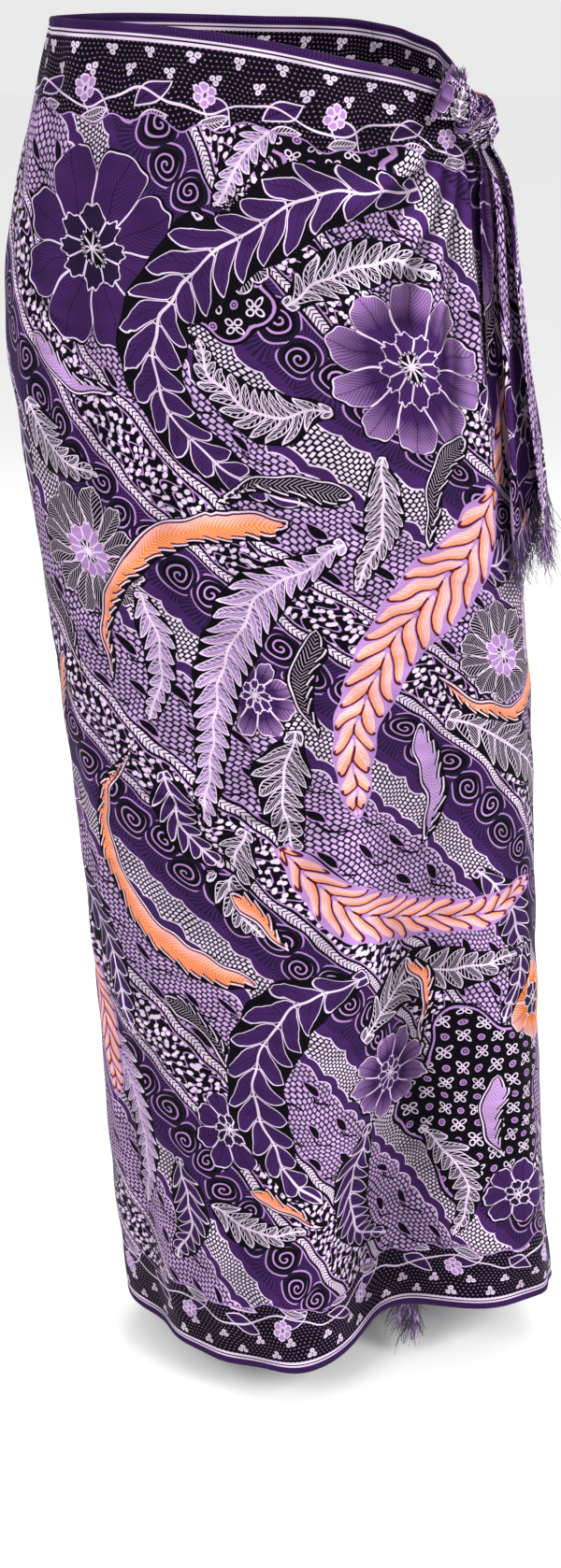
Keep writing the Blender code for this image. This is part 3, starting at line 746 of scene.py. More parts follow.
def use_group(tree, group, **values):
    """Places a group in a tree with its own values, and gives its outputs as wires."""
    node = tree.nodes.new("ShaderNodeGroup")
    node.node_tree = group
    feed(node, values)
    return {out.name: Wire(tree, out) for out in node.outputs}


def mixed(tree, under, over, mask):
    """Colour under, with colour over laid on it where the mask is 1."""
    node = tree.nodes.new("ShaderNodeMix")
    node.data_type = "RGBA"
    under, over = (colour if isinstance(colour, Wire) else (*colour, 1.0) for colour in (under, over))
    feed(node, {0: mask, 6: under, 7: over})
    return Wire(tree, node.outputs[2])


def attribute_wire(tree, name, output="Fac"):
    """The value of an attribute that the mesh carries."""
    node = tree.nodes.new("ShaderNodeAttribute")
    node.attribute_name = name
    return Wire(tree, node.outputs[output])


def attribute_wires(tree, name):
    """The three numbers of an attribute that the mesh carries."""
    split = tree.nodes.new("ShaderNodeSeparateXYZ")
    feed(split, {0: attribute_wire(tree, name, "Vector")})
    return [Wire(tree, out) for out in split.outputs]


def joined(tree, x, y):
    """Two wires as a vector for a texture."""
    node = tree.nodes.new("ShaderNodeCombineXYZ")
    feed(node, {0: x, 1: y})
    return Wire(tree, node.outputs[0])


BLUR = 0.00035
OUTLINE = 0.0011
THIN_LINE = 0.0003
STEM_LINE = 0.0008
STROKE = (0.17, 0.16)


def leaflet_group():
    """Leaflets on both sides of a stem, as in a fern.

    A leaflet's place is the distance along the stem less a lean times the distance across it, divided by
    the pitch: its whole number is the leaflet and the rest runs across it. A leaflet keeps its width and
    narrows to a point at the motif's edge, sooner for a lower Blunt. Fine strokes run from rib to sides.
    """
    tree, wires, end = new_group(
        "batik_leaflets", {"Along": 0, "Across": 0, "Inside": 0, "Pitch": 0.02, "Lean": 0.9, "Blunt": 4.0},
        ("Leaflet", "Rim", "Stroke", "Side", "Depth"))
    away = abs(wires["Across"])
    inside = wires["Inside"]
    out = away / (away + inside.step("MAXIMUM", 0.0))
    place = ((wires["Along"] - wires["Lean"] * away) / wires["Pitch"]).part() + -0.5
    narrow = out.step("POWER", wires["Blunt"]).turned(-0.5, 0.5) * out.turned(2.4, 0.72).step("MINIMUM", 1.0)
    off_rib = abs(place) * wires["Pitch"]
    depth = narrow * wires["Pitch"] - off_rib
    leaflet = depth.step("MINIMUM", inside)
    shape = leaflet.above(0.0, BLUR)
    stem = away.under(STEM_LINE, BLUR) * inside.above(0.0, BLUR)
    rim = (shape - leaflet.above(OUTLINE, BLUR)).step("MAXIMUM", stem)
    strokes = (away - off_rib * 1.3).strokes(0.0034, *STROKE) * shape
    rib = off_rib.under(THIN_LINE, BLUR) * shape
    feed(end, Leaflet=shape, Rim=rim, Stroke=strokes.step("MAXIMUM", rib), Side=place.turned(1.0, 0.5),
         Depth=leaflet)
    return tree


def saw_leaf_group():
    """A long leaf with a saw edge: teeth cut into one side of the band, strokes that slant across it."""
    tree, wires, end = new_group("batik_saw_leaf", {"Along": 0, "Across": 0, "Inside": 0, "Tooth": 0.011},
                                 ("Leaf", "Rim", "Line", "Stroke", "Side"))
    uneven = (wires["Along"] * 37.0).step("SINE") * 0.0035
    tooth = ((wires["Along"] + uneven) / wires["Tooth"]).part() * wires["Across"].above(0.0, BLUR) * 0.0034
    inside = wires["Inside"] - tooth
    leaf = inside.above(0.0, BLUR)
    inner = inside.above(OUTLINE, BLUR)
    side = wires["Across"] / (abs(wires["Across"]) + inside.step("MAXIMUM", 0.0005))
    strokes = (wires["Along"] + abs(wires["Across"]) * 1.1).strokes(0.0032, *STROKE) * leaf
    feed(end, Leaf=leaf, Rim=leaf - inner, Line=inner - inside.above(0.0024, BLUR), Stroke=strokes,
         Side=side.turned(0.5, 0.5))
    return tree


# output, reach beside the whole blossom's, and how far on it is turned, in petals
PETAL_RINGS = (("Petal", 1.0, 0.0), ("Inner", 0.42, 0.5), ("Heart", 0.17, 0.0))


def petal_group():
    """A blossom of equal petals round a middle, with a smaller ring of petals and a heart on it.

    The turn round the middle times the number of petals gives the petal, and the rest runs across it. A
    petal's outer edge is an arch over that rest, and the smaller rings use the same arch at their own
    reach, the middle ring half a petal on. A slow wave round the middle makes the petals uneven, and a
    quick one frills them. Veins branch from a petal's middle line.
    """
    tree, wires, end = new_group("batik_petals", {"X": 0, "Y": 0, "Radius": 0.05, "Petals": 8},
                                 ("Petal", "Inner", "Heart", "Rim", "Vein", "Out", "Depth"))
    away = (wires["X"] * wires["X"] + wires["Y"] * wires["Y"]).step("SQRT")
    angle = wires["Y"].step("ARCTAN2", wires["X"])
    turn = angle * wires["Petals"] / (2.0 * math.pi)
    frill = (turn * (6.0 * math.pi)).step("COSINE") * 0.018 + (angle * 2.0 + 0.8).step("SINE") * 0.05
    out = away / wires["Radius"] + frill
    sweep = away * 2.0 * math.pi / wires["Petals"]
    shapes = {}
    rim = None
    for label, size, ahead in PETAL_RINGS:
        place = abs((turn + ahead).part() + -0.5)
        arch = (place * place).turned(-3.6, 1.0).step("MAXIMUM", 0.0).step("SQRT")
        arch = arch.turned(0.40 * size, 0.60 * size)
        depth = (arch - out) * wires["Radius"]
        shapes[label] = depth.above(0.0, BLUR)
        folds = (place.turned(-1.0, 0.5) * sweep).under(0.0005, BLUR) * shapes[label]
        line = (shapes[label] - depth.above(OUTLINE, BLUR)).step("MAXIMUM", folds)
        if rim is None:
            rim = line
            outer_depth = depth
            branches = (away - place * sweep * 1.5).strokes(0.0033, 0.16, 0.16)
            vein = (place * sweep).under(0.0002, BLUR).step("MAXIMUM", branches) * shapes[label]
        else:
            rim = (rim * shapes[label].turned(-1.0, 1.0)).step("MAXIMUM", line)
    feed(end, Rim=rim, Vein=vein, Out=out, Depth=outer_depth, **shapes)
    return tree


def cell_group():
    """Small rounded cells in rows like bricks, every second row moved by half a cell."""
    tree, wires, end = new_group(
        "batik_cells", {"X": 0, "Y": 0, "Wide": 0.004, "High": 0.003, "Size": 0.016}, ("Cell",))
    row = wires["Y"] / wires["High"]
    across = (wires["X"] / wires["Wide"] + row.step("FLOOR") * 0.5).part() + -0.5
    up = row.part() + -0.5
    across = across * across
    up = up * up
    feed(end, Cell=(across * across + up * up).under(wires["Size"], 0.020))
    return tree


STRAND_PITCH = 0.0034
ROPE_CORE = 0.0026
ROPE_EDGE = 0.0048
ROPE_LINE = 0.0052


def rope_group():
    """A braided rope, by the distance off its middle: slanting strands, a dark edge and a thin pale line."""
    tree, wires, end = new_group("batik_rope", {"Along": 0, "Off": 0}, ("Strand", "Line", "Edge"))
    away = abs(wires["Off"])
    strands = ((wires["Along"] - away * 0.9) / STRAND_PITCH).part().above(0.24, 0.14)
    line = abs(away + -ROPE_LINE).under(THIN_LINE, BLUR)
    feed(end, Strand=strands * away.under(ROPE_CORE, BLUR), Line=line, Edge=away.under(ROPE_EDGE, BLUR))
    return tree


CURL_GAP = 0.0050
CURL_REACH = 0.0102
CLOUD_REACH = 0.0146
HATCH_START = 0.0105
HATCHES_TO_A_TURN = 44.0


def curl_group():
    """A row of curls on a dark cloud, in cells along a line, every second one mirrored and set lower.

    In a cell the line winds outwards: it lies where the distance from the cell's middle, less a share of
    the turn round it, is a whole number of gaps. The cloud's edge is a circle round each curl.
    """
    tree, wires, end = new_group(
        "batik_curls", {"Along": 0, "Off": 0, "Pitch": 0.026}, ("Line", "Cloud", "Hatch"))
    cell = wires["Along"] / wires["Pitch"]
    mirror = (cell * 0.5).part().above(0.5, 0.0001).turned(2.0, -1.0)
    across = (cell.part() + -0.5) * wires["Pitch"] * mirror
    up = wires["Off"] + mirror * 0.0035
    away = (across * across + up * up).step("SQRT")
    turn = up.step("ARCTAN2", across) / (2.0 * math.pi)
    winding = abs((away / CURL_GAP - turn).part() + -0.5)
    line = winding.under(0.095, 0.07) * away.under(CURL_REACH, BLUR)
    rim = abs(away + -CLOUD_REACH).under(0.00045, BLUR)
    hatch = (turn * HATCHES_TO_A_TURN).part().under(0.40, 0.25) * away.above(HATCH_START, BLUR)
    feed(end, Line=line.step("MAXIMUM", rim), Cloud=away.under(CLOUD_REACH, BLUR), Hatch=hatch)
    return tree


def rosette_group():
    """Rings of four round petals on a dark ground, with a dotted ring between them.

    A cell's own place is folded into one quarter and over its diagonal, so that one ellipse, drawn as a
    thin line, gives all four petals.
    """
    tree, wires, end = new_group("batik_rosettes", {"X": 0, "Y": 0, "Pitch": 0.021}, ("Line", "Ring"))
    across = abs((wires["X"] / wires["Pitch"]).part() + -0.5)
    up = abs((wires["Y"] / wires["Pitch"]).part() + -0.5)
    reach = (across.step("MAXIMUM", up) + -0.20) / 0.155
    side = across.step("MINIMUM", up) / 0.105
    size = (reach * reach + side * side).step("SQRT")
    line = abs(size + -0.82).under(0.17, 0.08)
    corner = ((across + -0.5) * (across + -0.5) + (up + -0.5) * (up + -0.5)).step("SQRT")
    ring = abs(corner + -0.125).under(0.022, 0.02).step("MAXIMUM", corner.under(0.035, 0.02))
    feed(end, Line=line, Ring=ring)
    return tree


def single_leaf_group():
    """One pointed leaf lying along X: its edge on each side is a parabola. A midrib and slanting veins."""
    tree, wires, end = new_group("batik_single_leaf", {"X": 0, "Y": 0, "Long": 0.02, "Wide": 0.008},
                                 ("Leaf", "Rim", "Vein"))
    share = wires["X"] / wires["Long"]
    away = abs(wires["Y"])
    side = (share * share).turned(-1.0, 1.0) * wires["Wide"] - away
    leaf = side.above(0.0, BLUR)
    veins = (wires["X"] - away * 1.2).strokes(0.0026, 0.26, 0.16)
    veins = veins.step("MAXIMUM", away.under(THIN_LINE, BLUR)) * leaf
    feed(end, Leaf=leaf, Rim=leaf - side.above(OUTLINE, BLUR), Vein=veins)
    return tree


NIGHT = (0.0030, 0.0020, 0.0045)
INK = (0.0180, 0.0085, 0.0380)
PURPLE = (0.0540, 0.0160, 0.1050)
LILAC = (0.4700, 0.2500, 0.5900)
PALE = (0.8000, 0.6400, 0.8400)
PEACH = (0.9800, 0.4600, 0.4100)
ORANGE = (1.0000, 0.2500, 0.0300)
MAROON = (0.0900, 0.0090, 0.0330)

BAND_SLOPE = 1.12
BAND_PITCH = 0.190
# Where each thing lies across one pitch of the bands.
STRIP_PLACES = (0.0095, 0.0285)
SCALLOP_EDGE = 0.0375
SCALLOP_PITCH = 0.021
BRICK_PLACES = (0.036, 0.097)
ROPES = (0.100, 0.143)
BUD_PLACES = (0.104, 0.139)
CURLS_MIDDLE = 0.1655
BUD_SCALE = 185.0
HOOK_PITCH = 0.047
HOOK_ROW = 0.0205


def ground_group():
    """The ground: slanting bands across the cloth, each with a filling of its own.

    One coordinate runs along the bands and one across them, both with slow waves. Across one pitch follow
    a strip of pale cells between scalloped purple edges, pale brick cells with dark hooks, a rope, buds
    on a dark field, a rope, and curls on a dark cloud.
    """
    tree, wires, end = new_group("batik_ground", {"X": 0, "Y": 0}, ("Colour",))
    x, y = wires["X"], wires["Y"]
    scale = 1.0 / math.hypot(1.0, BAND_SLOPE)
    wave = (x * 8.0 - y * 6.0).step("SINE") * 0.030 + (x * 26.0 + y * 17.0).step("SINE") * 0.0045
    along = (x - y * BAND_SLOPE + wave * 0.4) * scale
    across = (x * BAND_SLOPE + y + wave) * -scale + 5.0 * BAND_PITCH + 0.060
    place = (across / BAND_PITCH).part() * BAND_PITCH

    curls = use_group(tree, CURLS, Along=along, Off=place + -CURLS_MIDDLE)
    colour = mixed(tree, PURPLE, NIGHT, curls["Cloud"])
    colour = colour.painted((INK, curls["Hatch"]), (LILAC, curls["Line"]))

    buds = tree.nodes.new("ShaderNodeTexVoronoi")
    buds.voronoi_dimensions = "2D"
    feed(buds, Vector=joined(tree, along, across * 0.8), Scale=BUD_SCALE)
    bud = Wire(tree, buds.outputs["Distance"])
    stem = abs((along * 88.0 + (across * 420.0).step("SINE") * 0.45).part() + -0.5).under(0.05, 0.04)
    budded = mixed(tree, NIGHT, LILAC, stem).painted((PALE, bud.under(0.28, 0.07)))
    bow = (along / SCALLOP_PITCH).part() + -0.5
    bow = bow * bow * 0.016
    in_buds = (place + bow).above(BUD_PLACES[0], BLUR) * (place - bow).under(BUD_PLACES[1], BLUR)

    brick = use_group(tree, CELLS, X=along, Y=place, Wide=0.0054, High=0.0038, Size=0.0075)["Cell"]
    row = place / HOOK_ROW
    hook_x = ((along + row.step("FLOOR") * 0.019) / HOOK_PITCH).part().turned(HOOK_PITCH, -0.013)
    hook_y = row.part().turned(HOOK_ROW, -0.0100)
    body = (hook_x * hook_x).turned(-36.0, 0.0033) - abs(hook_y)
    bend = abs(hook_y - (hook_x * 165.0).step("SINE") * 0.0042)
    tail = bend.under(0.0008, BLUR) * abs(hook_x + -0.012).under(0.0125, BLUR)
    hook_rim = body.above(-0.0008, BLUR) - body.above(0.0, BLUR)
    bricks = mixed(tree, INK, mixed(tree, LILAC, PALE, 0.35), brick)
    bricks = bricks.painted((NIGHT, body.above(0.0, BLUR).step("MAXIMUM", tail)), (LILAC, hook_rim))

    cells = use_group(tree, CELLS, X=place, Y=along, Wide=0.0040, High=0.0033, Size=0.004)["Cell"]
    scalloped = place - bow
    low = place + bow * 0.8
    high = place - bow * 0.8
    rims = abs(scalloped.step("SUBTRACT", SCALLOP_EDGE))
    for line, edge in ((low, STRIP_PLACES[0] - 0.0005), (high, STRIP_PLACES[1] + 0.0005)):
        rims = rims.step("MINIMUM", abs(line + -edge))

    in_strip = low.above(STRIP_PLACES[0], BLUR) * high.under(STRIP_PLACES[1], BLUR)
    rope_off = abs(place + -ROPES[0]).step("MINIMUM", abs(place + -ROPES[1]))
    rope = use_group(tree, ROPE, Along=along, Off=rope_off)
    feed(end, Colour=colour.painted(
        (budded, in_buds),
        (bricks, place.above(BRICK_PLACES[0], BLUR) * place.under(BRICK_PLACES[1], BLUR)),
        (PURPLE, scalloped.under(SCALLOP_EDGE, BLUR)),
        (mixed(tree, NIGHT, PALE, cells), in_strip),
        (PALE, rims.under(0.0004, BLUR)),
        (NIGHT, rope["Edge"]),
        (PALE, rope["Strand"]),
        (LILAC, rope["Line"]),
    ))
    return tree


VINE_PITCH = 0.088
CLUSTER_PITCH = 0.030
# pitch, start, middle, turn in radians, half length, half width and colour of the vine's leaves
VINE_LEAVES = (
    (VINE_PITCH, 0.012, 0.0500, 0.62, 0.0165, 0.0078, PURPLE),
    (VINE_PITCH, 0.055, 0.0425, -0.55, 0.0150, 0.0068, PURPLE),
    (VINE_PITCH / 2, 0.034, 0.0575, -0.30, 0.0125, 0.0050, NIGHT),
)


def border_group():
    """The border along an edge of the cloth, by the distance in from the edge and the place along it.

    From the edge inwards: a purple stripe with fine hatching, two pale lines, a dark strip with tiny dots
    and clusters of three rings, and a wavy vine with pointed leaves and small blossoms.
    """
    tree, wires, end = new_group("batik_border", {"In": 0, "Along": 0}, ("Colour", "Mask"))
    inwards, along = wires["In"], wires["Along"]
    vine_wave = (along * (2.0 * math.pi / VINE_PITCH)).step("SINE")

    row = inwards / 0.0031
    dots_x = (along / 0.0036 + row.step("FLOOR") * 0.5).part() + -0.5
    dots_y = row.part() + -0.5
    dots = (dots_x * dots_x + dots_y * dots_y).under(0.020, 0.020)

    second = inwards.above(0.023, 0.0001)
    cluster_x = (along / CLUSTER_PITCH + second * 0.5).part().turned(CLUSTER_PITCH, -CLUSTER_PITCH / 2)
    cluster_x = abs(cluster_x)
    cluster_y = inwards - second * 0.0125 + -0.0165
    low_x, low_y, high_y = cluster_x + -0.0022, cluster_y + 0.0013, cluster_y + -0.0024
    ring = low_x * low_x + low_y * low_y
    ring = ring.step("MINIMUM", cluster_x * cluster_x + high_y * high_y).step("SQRT")
    colour = mixed(tree, NIGHT, LILAC, dots * 0.6).painted(
        (PALE, abs(ring + -0.00135).under(0.00042, BLUR)), (PALE, ring.under(0.0002, BLUR)))

    for pitch, start, middle, turn, long, wide, tint in VINE_LEAVES:
        off_x = ((along + start) / pitch).part().turned(pitch, -pitch / 2)
        off_y = inwards + -middle
        lying_x = off_x * math.cos(turn) + off_y * math.sin(turn)
        lying_y = off_y * math.cos(turn) - off_x * math.sin(turn)
        leaf = use_group(tree, SINGLE_LEAF, X=lying_x, Y=lying_y, Long=long, Wide=wide)
        vein = PALE if tint is NIGHT else NIGHT
        colour = colour.painted((tint, leaf["Leaf"]), (vein, leaf["Vein"] * 0.75), (PALE, leaf["Rim"]))

    petal_x = ((along + 0.022) / VINE_PITCH).part().turned(VINE_PITCH, -VINE_PITCH / 2)
    blossom = use_group(tree, PETALS, X=petal_x, Y=inwards + -0.0400, Radius=0.0090, Petals=6.0)
    hatch = along.strokes(0.0022, 0.34, 0.18) * 0.6
    bound = vine_wave.turned(0.0035, 0.0600) + (along * (2.0 * math.pi / 0.033)).step("SINE") * 0.0022
    depth = bound - inwards
    mask = depth.above(0.0, BLUR)
    feed(end, Mask=mask, Colour=colour.painted(
        (PALE, abs(vine_wave.turned(0.0060, 0.0465) - inwards).under(0.0006, BLUR)),
        (LILAC, blossom["Petal"]),
        (PALE, blossom["Rim"]),
        (PURPLE, blossom["Heart"]),
        (PALE, inwards.under(0.0102, BLUR)),
        (NIGHT, inwards.under(0.0082, BLUR)),
        (PALE, inwards.under(0.0070, BLUR)),
        (mixed(tree, PURPLE, NIGHT, hatch), inwards.under(0.0056, BLUR)),
        (LILAC, mask - depth.above(0.0010, BLUR)),
    ))
    return tree


def only(wire, number):
    """1 where the wire holds that whole number."""
    return abs(wire + -float(number)).under(0.3, 0.1)


def motif_group():
    """The ground with the layers of motifs over it."""
    tree, _, end = new_group("batik_motifs", {}, ("Colour",))
    x, y, patch = attribute_wires(tree, "cloth_flat")
    colour = use_group(tree, GROUND, X=x, Y=y)["Colour"]

    rosette = use_group(tree, ROSETTES, X=(x + y) * 0.7071, Y=(y - x) * 0.7071, Pitch=0.0200)
    filled = mixed(tree, NIGHT, LILAC, rosette["Ring"]).painted((PALE, rosette["Line"]))
    filled = mixed(tree, LILAC, filled, patch.above(0.0, BLUR))
    filled = mixed(tree, NIGHT, filled, patch.above(-0.0018, BLUR))
    colour = colour.painted((filled, patch.above(-0.0042, BLUR)))

    off_x, off_y, inside = attribute_wires(tree, "blossom_place")
    radius, petals, finish = attribute_wires(tree, "blossom_look")
    bloom = use_group(tree, PETALS, X=off_x, Y=off_y, Radius=radius, Petals=petals)
    light = only(finish, 1)
    dark = only(finish, 2)
    tint = mixed(tree, PURPLE, mixed(tree, PURPLE, LILAC, bloom["Out"].above(0.55, 0.6)), light).painted(
        (NIGHT, dark), (mixed(tree, ORANGE, PEACH, bloom["Out"].above(0.45, 0.4)), only(finish, 3)))
    blossom = mixed(tree, NIGHT, tint, bloom["Petal"]).painted(
        (mixed(tree, NIGHT, PALE, dark), bloom["Vein"] * 0.7),
        (mixed(tree, INK, PURPLE, light).painted((LILAC, dark)), bloom["Inner"]),
        (NIGHT, bloom["Heart"]),
        (PALE, bloom["Rim"]),
    )
    colour = colour.painted((blossom, inside.above(0.0, BLUR) * bloom["Depth"].above(-0.0022, BLUR)))

    for name, lean, blunt in (("spray", 0.95, 3.6), ("plume", 1.50, 6.0)):
        along, across, inside = attribute_wires(tree, name + "_place")
        pitch, finish, _ = attribute_wires(tree, name + "_look")
        peach = only(finish, 3)
        black = only(finish, 1)
        fern = use_group(tree, LEAFLETS, Along=along, Across=across, Inside=inside, Pitch=pitch,
                         Lean=lean, Blunt=blunt)
        side = fern["Side"]
        leaves = mixed(tree, NIGHT, LILAC, peach)
        if name == "spray":
            tint = mixed(tree, PURPLE, NIGHT, black)
            tint = tint.painted((mixed(tree, PURPLE, LILAC, side), only(finish, 2)))
            stroke = mixed(tree, INK, PALE, finish.above(0.5, 0.3))
            rim = PALE
        else:
            tint = mixed(tree, PEACH, ORANGE, side.above(0.30, 0.45)).painted((NIGHT, black))
            stroke = PALE
            rim = mixed(tree, LILAC, MAROON, side.above(0.4, 0.1)).painted((PALE, black))
        leaves = leaves.painted((tint, fern["Leaflet"]), (stroke, fern["Stroke"] * 0.75))
        if name == "plume":
            lower_edge = fern["Depth"].under(0.0024, BLUR) * side.above(0.5, 0.02) * fern["Leaflet"]
            leaves = leaves.painted((MAROON, lower_edge * peach))
        colour = colour.painted((leaves.painted((rim, fern["Rim"])), inside.above(-0.0010, BLUR)))

    along, across, inside = attribute_wires(tree, "saw_place")
    _, finish, _ = attribute_wires(tree, "saw_look")
    saw = use_group(tree, SAW_LEAF, Along=along, Across=across, Inside=inside, Tooth=0.0115)
    fiery = finish.under(0.5, 0.3)
    tint = mixed(tree, NIGHT, LILAC, only(finish, 2))
    tint = tint.painted((mixed(tree, PEACH, ORANGE, saw["Side"].above(0.10, 0.40)), fiery))
    leaf = mixed(tree, NIGHT, tint, saw["Leaf"]).painted(
        (PALE, saw["Stroke"] * 0.55),
        (mixed(tree, NIGHT, MAROON, fiery), saw["Line"]),
        (PALE, saw["Rim"]),
    )
    feed(end, Colour=colour.painted((leaf, inside.above(-0.0012, BLUR))))
    return tree


def plain_group():
    """The ground alone, where no motif lies."""
    tree, _, end = new_group("batik_plain", {}, ("Colour",))
    x, y, _ = attribute_wires(tree, "cloth_flat")
    feed(end, Colour=use_group(tree, GROUND, X=x, Y=y)["Colour"])
    return tree


def edged_group():
    """The ground and its motifs with the border over them, along the nearer of the two long edges."""
    tree, _, end = new_group("batik_edged", {}, ("Colour",))
    x, y, _ = attribute_wires(tree, "cloth_flat")
    border = use_group(tree, BORDER, In=y.step("MINIMUM", y.turned(-1.0, CLOTH_HEIGHT)), Along=x)
    motifs = use_group(tree, MOTIFS)["Colour"]
    feed(end, Colour=motifs.painted((border["Colour"], border["Mask"])))
    return tree


def weave_group():
    """The plain weave of fine rayon: threads over and under as a product of two waves, dyed unevenly."""
    tree, wires, end = new_group("rayon_weave", {"X": 0, "Y": 0, "Thread": 0.0006}, ("Height", "Shade"))
    over = (wires["X"] * 2.0 * math.pi / wires["Thread"]).step("SINE")
    under = (wires["Y"] * 2.0 * math.pi / wires["Thread"]).step("SINE")
    dye = tree.nodes.new("ShaderNodeTexNoise")
    dye.noise_dimensions = "2D"
    feed(dye, Vector=joined(tree, wires["X"] * 0.5, wires["Y"] * 2.0), Scale=42.0, Detail=1.5)
    shade = Wire(tree, dye.outputs[0])
    feed(end, Height=over * under * 0.35 + shade, Shade=shade)
    return tree


LEAFLETS = leaflet_group()
SAW_LEAF = saw_leaf_group()
PETALS = petal_group()
CELLS = cell_group()
ROPE = rope_group()
CURLS = curl_group()
ROSETTES = rosette_group()
SINGLE_LEAF = single_leaf_group()
GROUND = ground_group()
MOTIFS = motif_group()
BORDER = border_group()
WEAVE = weave_group()


def new_material(name, values):
    """A material, its tree and its shader, with values set on the shader's own inputs."""
    material = bpy.data.materials.new(name)
    material.use_nodes = True
    shader = material.node_tree.nodes["Principled BSDF"]
    feed(shader, values)
    return material, material.node_tree, shader


def batik_cloth(name, group):
    """Thin printed rayon: the print, dyed a little unevenly, with painted shade in creases and painted light
    on ridges, a fine weave and the soft sheen of the yarn.
    """
    material, tree, shader = new_material(
        name, {"Sheen Weight": 0.010, "Sheen Roughness": 0.45, "Specular IOR Level": 0.03})
    x, y, _ = attribute_wires(tree, "cloth_flat")
    weave = use_group(tree, WEAVE, X=x, Y=y)
    # The print is scaled by the uneven dye and by the painted crease shade: down to half in a crease, up to
    # one and a half on a ridge.
    shade = weave["Shade"].turned(0.42, 0.43) * attribute_wire(tree, "cloth_painted_shade").turned(-0.50, 1.0)
    scaled = tree.nodes.new("ShaderNodeVectorMath")
    scaled.operation = "SCALE"
    feed(scaled, {0: use_group(tree, group)["Colour"]}, Scale=shade)
    bump = tree.nodes.new("ShaderNodeBump")
    feed(bump, Strength=0.25, Distance=0.0003, Height=weave["Height"])
    feed(shader, {"Base Color": Wire(tree, scaled.outputs[0])}, Roughness=weave["Shade"].turned(0.30, 0.46),
         Normal=Wire(tree, bump.outputs["Normal"]))
    return material


PRINTED = (
    batik_cloth("batik_ground_only", plain_group()),
    batik_cloth("batik_with_motifs", MOTIFS),
    batik_cloth("batik_with_border", edged_group()),
)


STRETCH_ROWS = 262
stretches = {}


def cloth_stretch(name, rows, first, last, columns, node):
    """One stretch of the wound cloth as a printed piece, and its grid of turns and heights."""
    turn, height = stretch(rows, first, last, (columns, STRETCH_ROWS))
    layer = outer_layer(turn) if rows is OUTER_EDGES else 0.0
    points, flat = cloth_point(turn, height, layer), flat_place(turn, height, rows)
    stretches[name] = (points, flat)
    mesh = grid_mesh(name + "_cloth", points)
    # Painted shade in the creases and painted light on the ridges go onto the print.
    print_on(mesh, *flat, painted_crease_shade(turn, height, layer))
    return thin_wall(add_piece(name + "_cloth", mesh, "cloth_" + name, node)), (turn, height)


front_cloth, outer_grid = cloth_stretch("front", OUTER_EDGES, LEFT_SEAM, OUTER_END, 184, "front_wrap")

# Back of the sarong: the same width of printed rayon, on round the back from the left side to the right.
# It hangs from the hips in long soft folds, like the front.

back_cloth, _ = cloth_stretch("back", INNER_EDGES, BACK_SEAM, 360.0 + LEFT_SEAM, 92, "back_wrap")

# Inner lap: the first end of the cloth, wound under the front at the right side. It is the same printed
# rayon, with its end left unhemmed, and only the pull of the knot holds it.

inner_cloth, inner_grid = cloth_stretch("inner", INNER_EDGES, INNER_END, BACK_SEAM, 80, "inner_lap")

# Rolled hems: each long edge of the cloth is turned in twice to a narrow roll and stitched down, at the
# waist and at the bottom. The border's purple stripe runs on it.

HEM_HALF_WIDTH = 0.0024
HEM_HALF_DEPTH = 0.0010
HEM_SIDES = 10
HEM_SHIFT = 0.8


def unit(vectors):
    """Each vector made one long."""
    return vectors / np.linalg.norm(vectors, axis=-1, keepdims=True)


def tube_mesh(name, rings):
    """A closed mesh through rings of points: a tube with its ends drawn to a point, its faces turned out."""
    sides = rings.shape[1]
    first, last = (np.repeat(ring.mean(axis=0, keepdims=True), sides, axis=0)[None] for ring in rings[[0, -1]])
    rings = np.concatenate([first, rings, last])
    corner = np.arange(len(rings) * sides).reshape(len(rings), sides)
    after = np.roll(corner, -1, axis=1)
    faces = np.stack([corner[:-1], after[:-1], after[1:], corner[1:]], axis=-1).reshape(-1, 4)
    points = rings.reshape(-1, 3)
    quads = points[faces] - points.mean(axis=0)
    halves = np.cross(quads[:, 1], quads[:, 2]) + np.cross(quads[:, 2], quads[:, 3])
    if np.sum(quads[:, 0] * halves) < 0.0:
        faces = faces[:, ::-1]
    mesh = bpy.data.meshes.new(name)
    mesh.from_pydata(points, [], faces)
    mesh.shade_smooth()
    return mesh


def with_ends(values):
    """A grid with its first and last row given twice, as tube_mesh has its ends."""
    return np.concatenate([values[:1], values, values[-1:]])


def rolled_hem(name, points, flat, row, slot):
    """A flat roll along an edge of a stretch: an ellipse carried along it, its long axis up the cloth."""
    line = points[row]
    upwards = unit(points[1 if row == 0 else row - 1] - line)
    along = unit(np.gradient(line, axis=0))
    out = unit(np.cross(along, upwards))
    angle = np.linspace(0.0, 2.0 * math.pi, HEM_SIDES, endpoint=False)
    reach = HEM_HALF_WIDTH * (np.cos(angle) + HEM_SHIFT)
    stand = HEM_HALF_DEPTH * np.sin(angle)
    rings = line[:, None] + upwards[:, None] * reach[:, None] + out[:, None] * stand[:, None]
    mesh = tube_mesh(name, rings)
    along_flat, up_flat = flat
    x = np.repeat(along_flat[row][:, None], HEM_SIDES, axis=1)
    y = up_flat[row][:, None] + reach * (-1.0 if row == 0 else 1.0)
    print_on(mesh, with_ends(x), with_ends(y))
    return add_piece(name, mesh, slot)


for stretch_name, (points, flat) in stretches.items():
    [
        rolled_hem(stretch_name + place, points, flat, row, "cloth_" + stretch_name)
        for place, row in (("_waist_hem", 0), ("_bottom_hem", -1))
    ]

# Knot: the gathered upper edge of the front is twisted into a throat, and the outer corner is taken once
# round it and pulled tight. It is the same cloth, so it shows the print in narrow pleats.

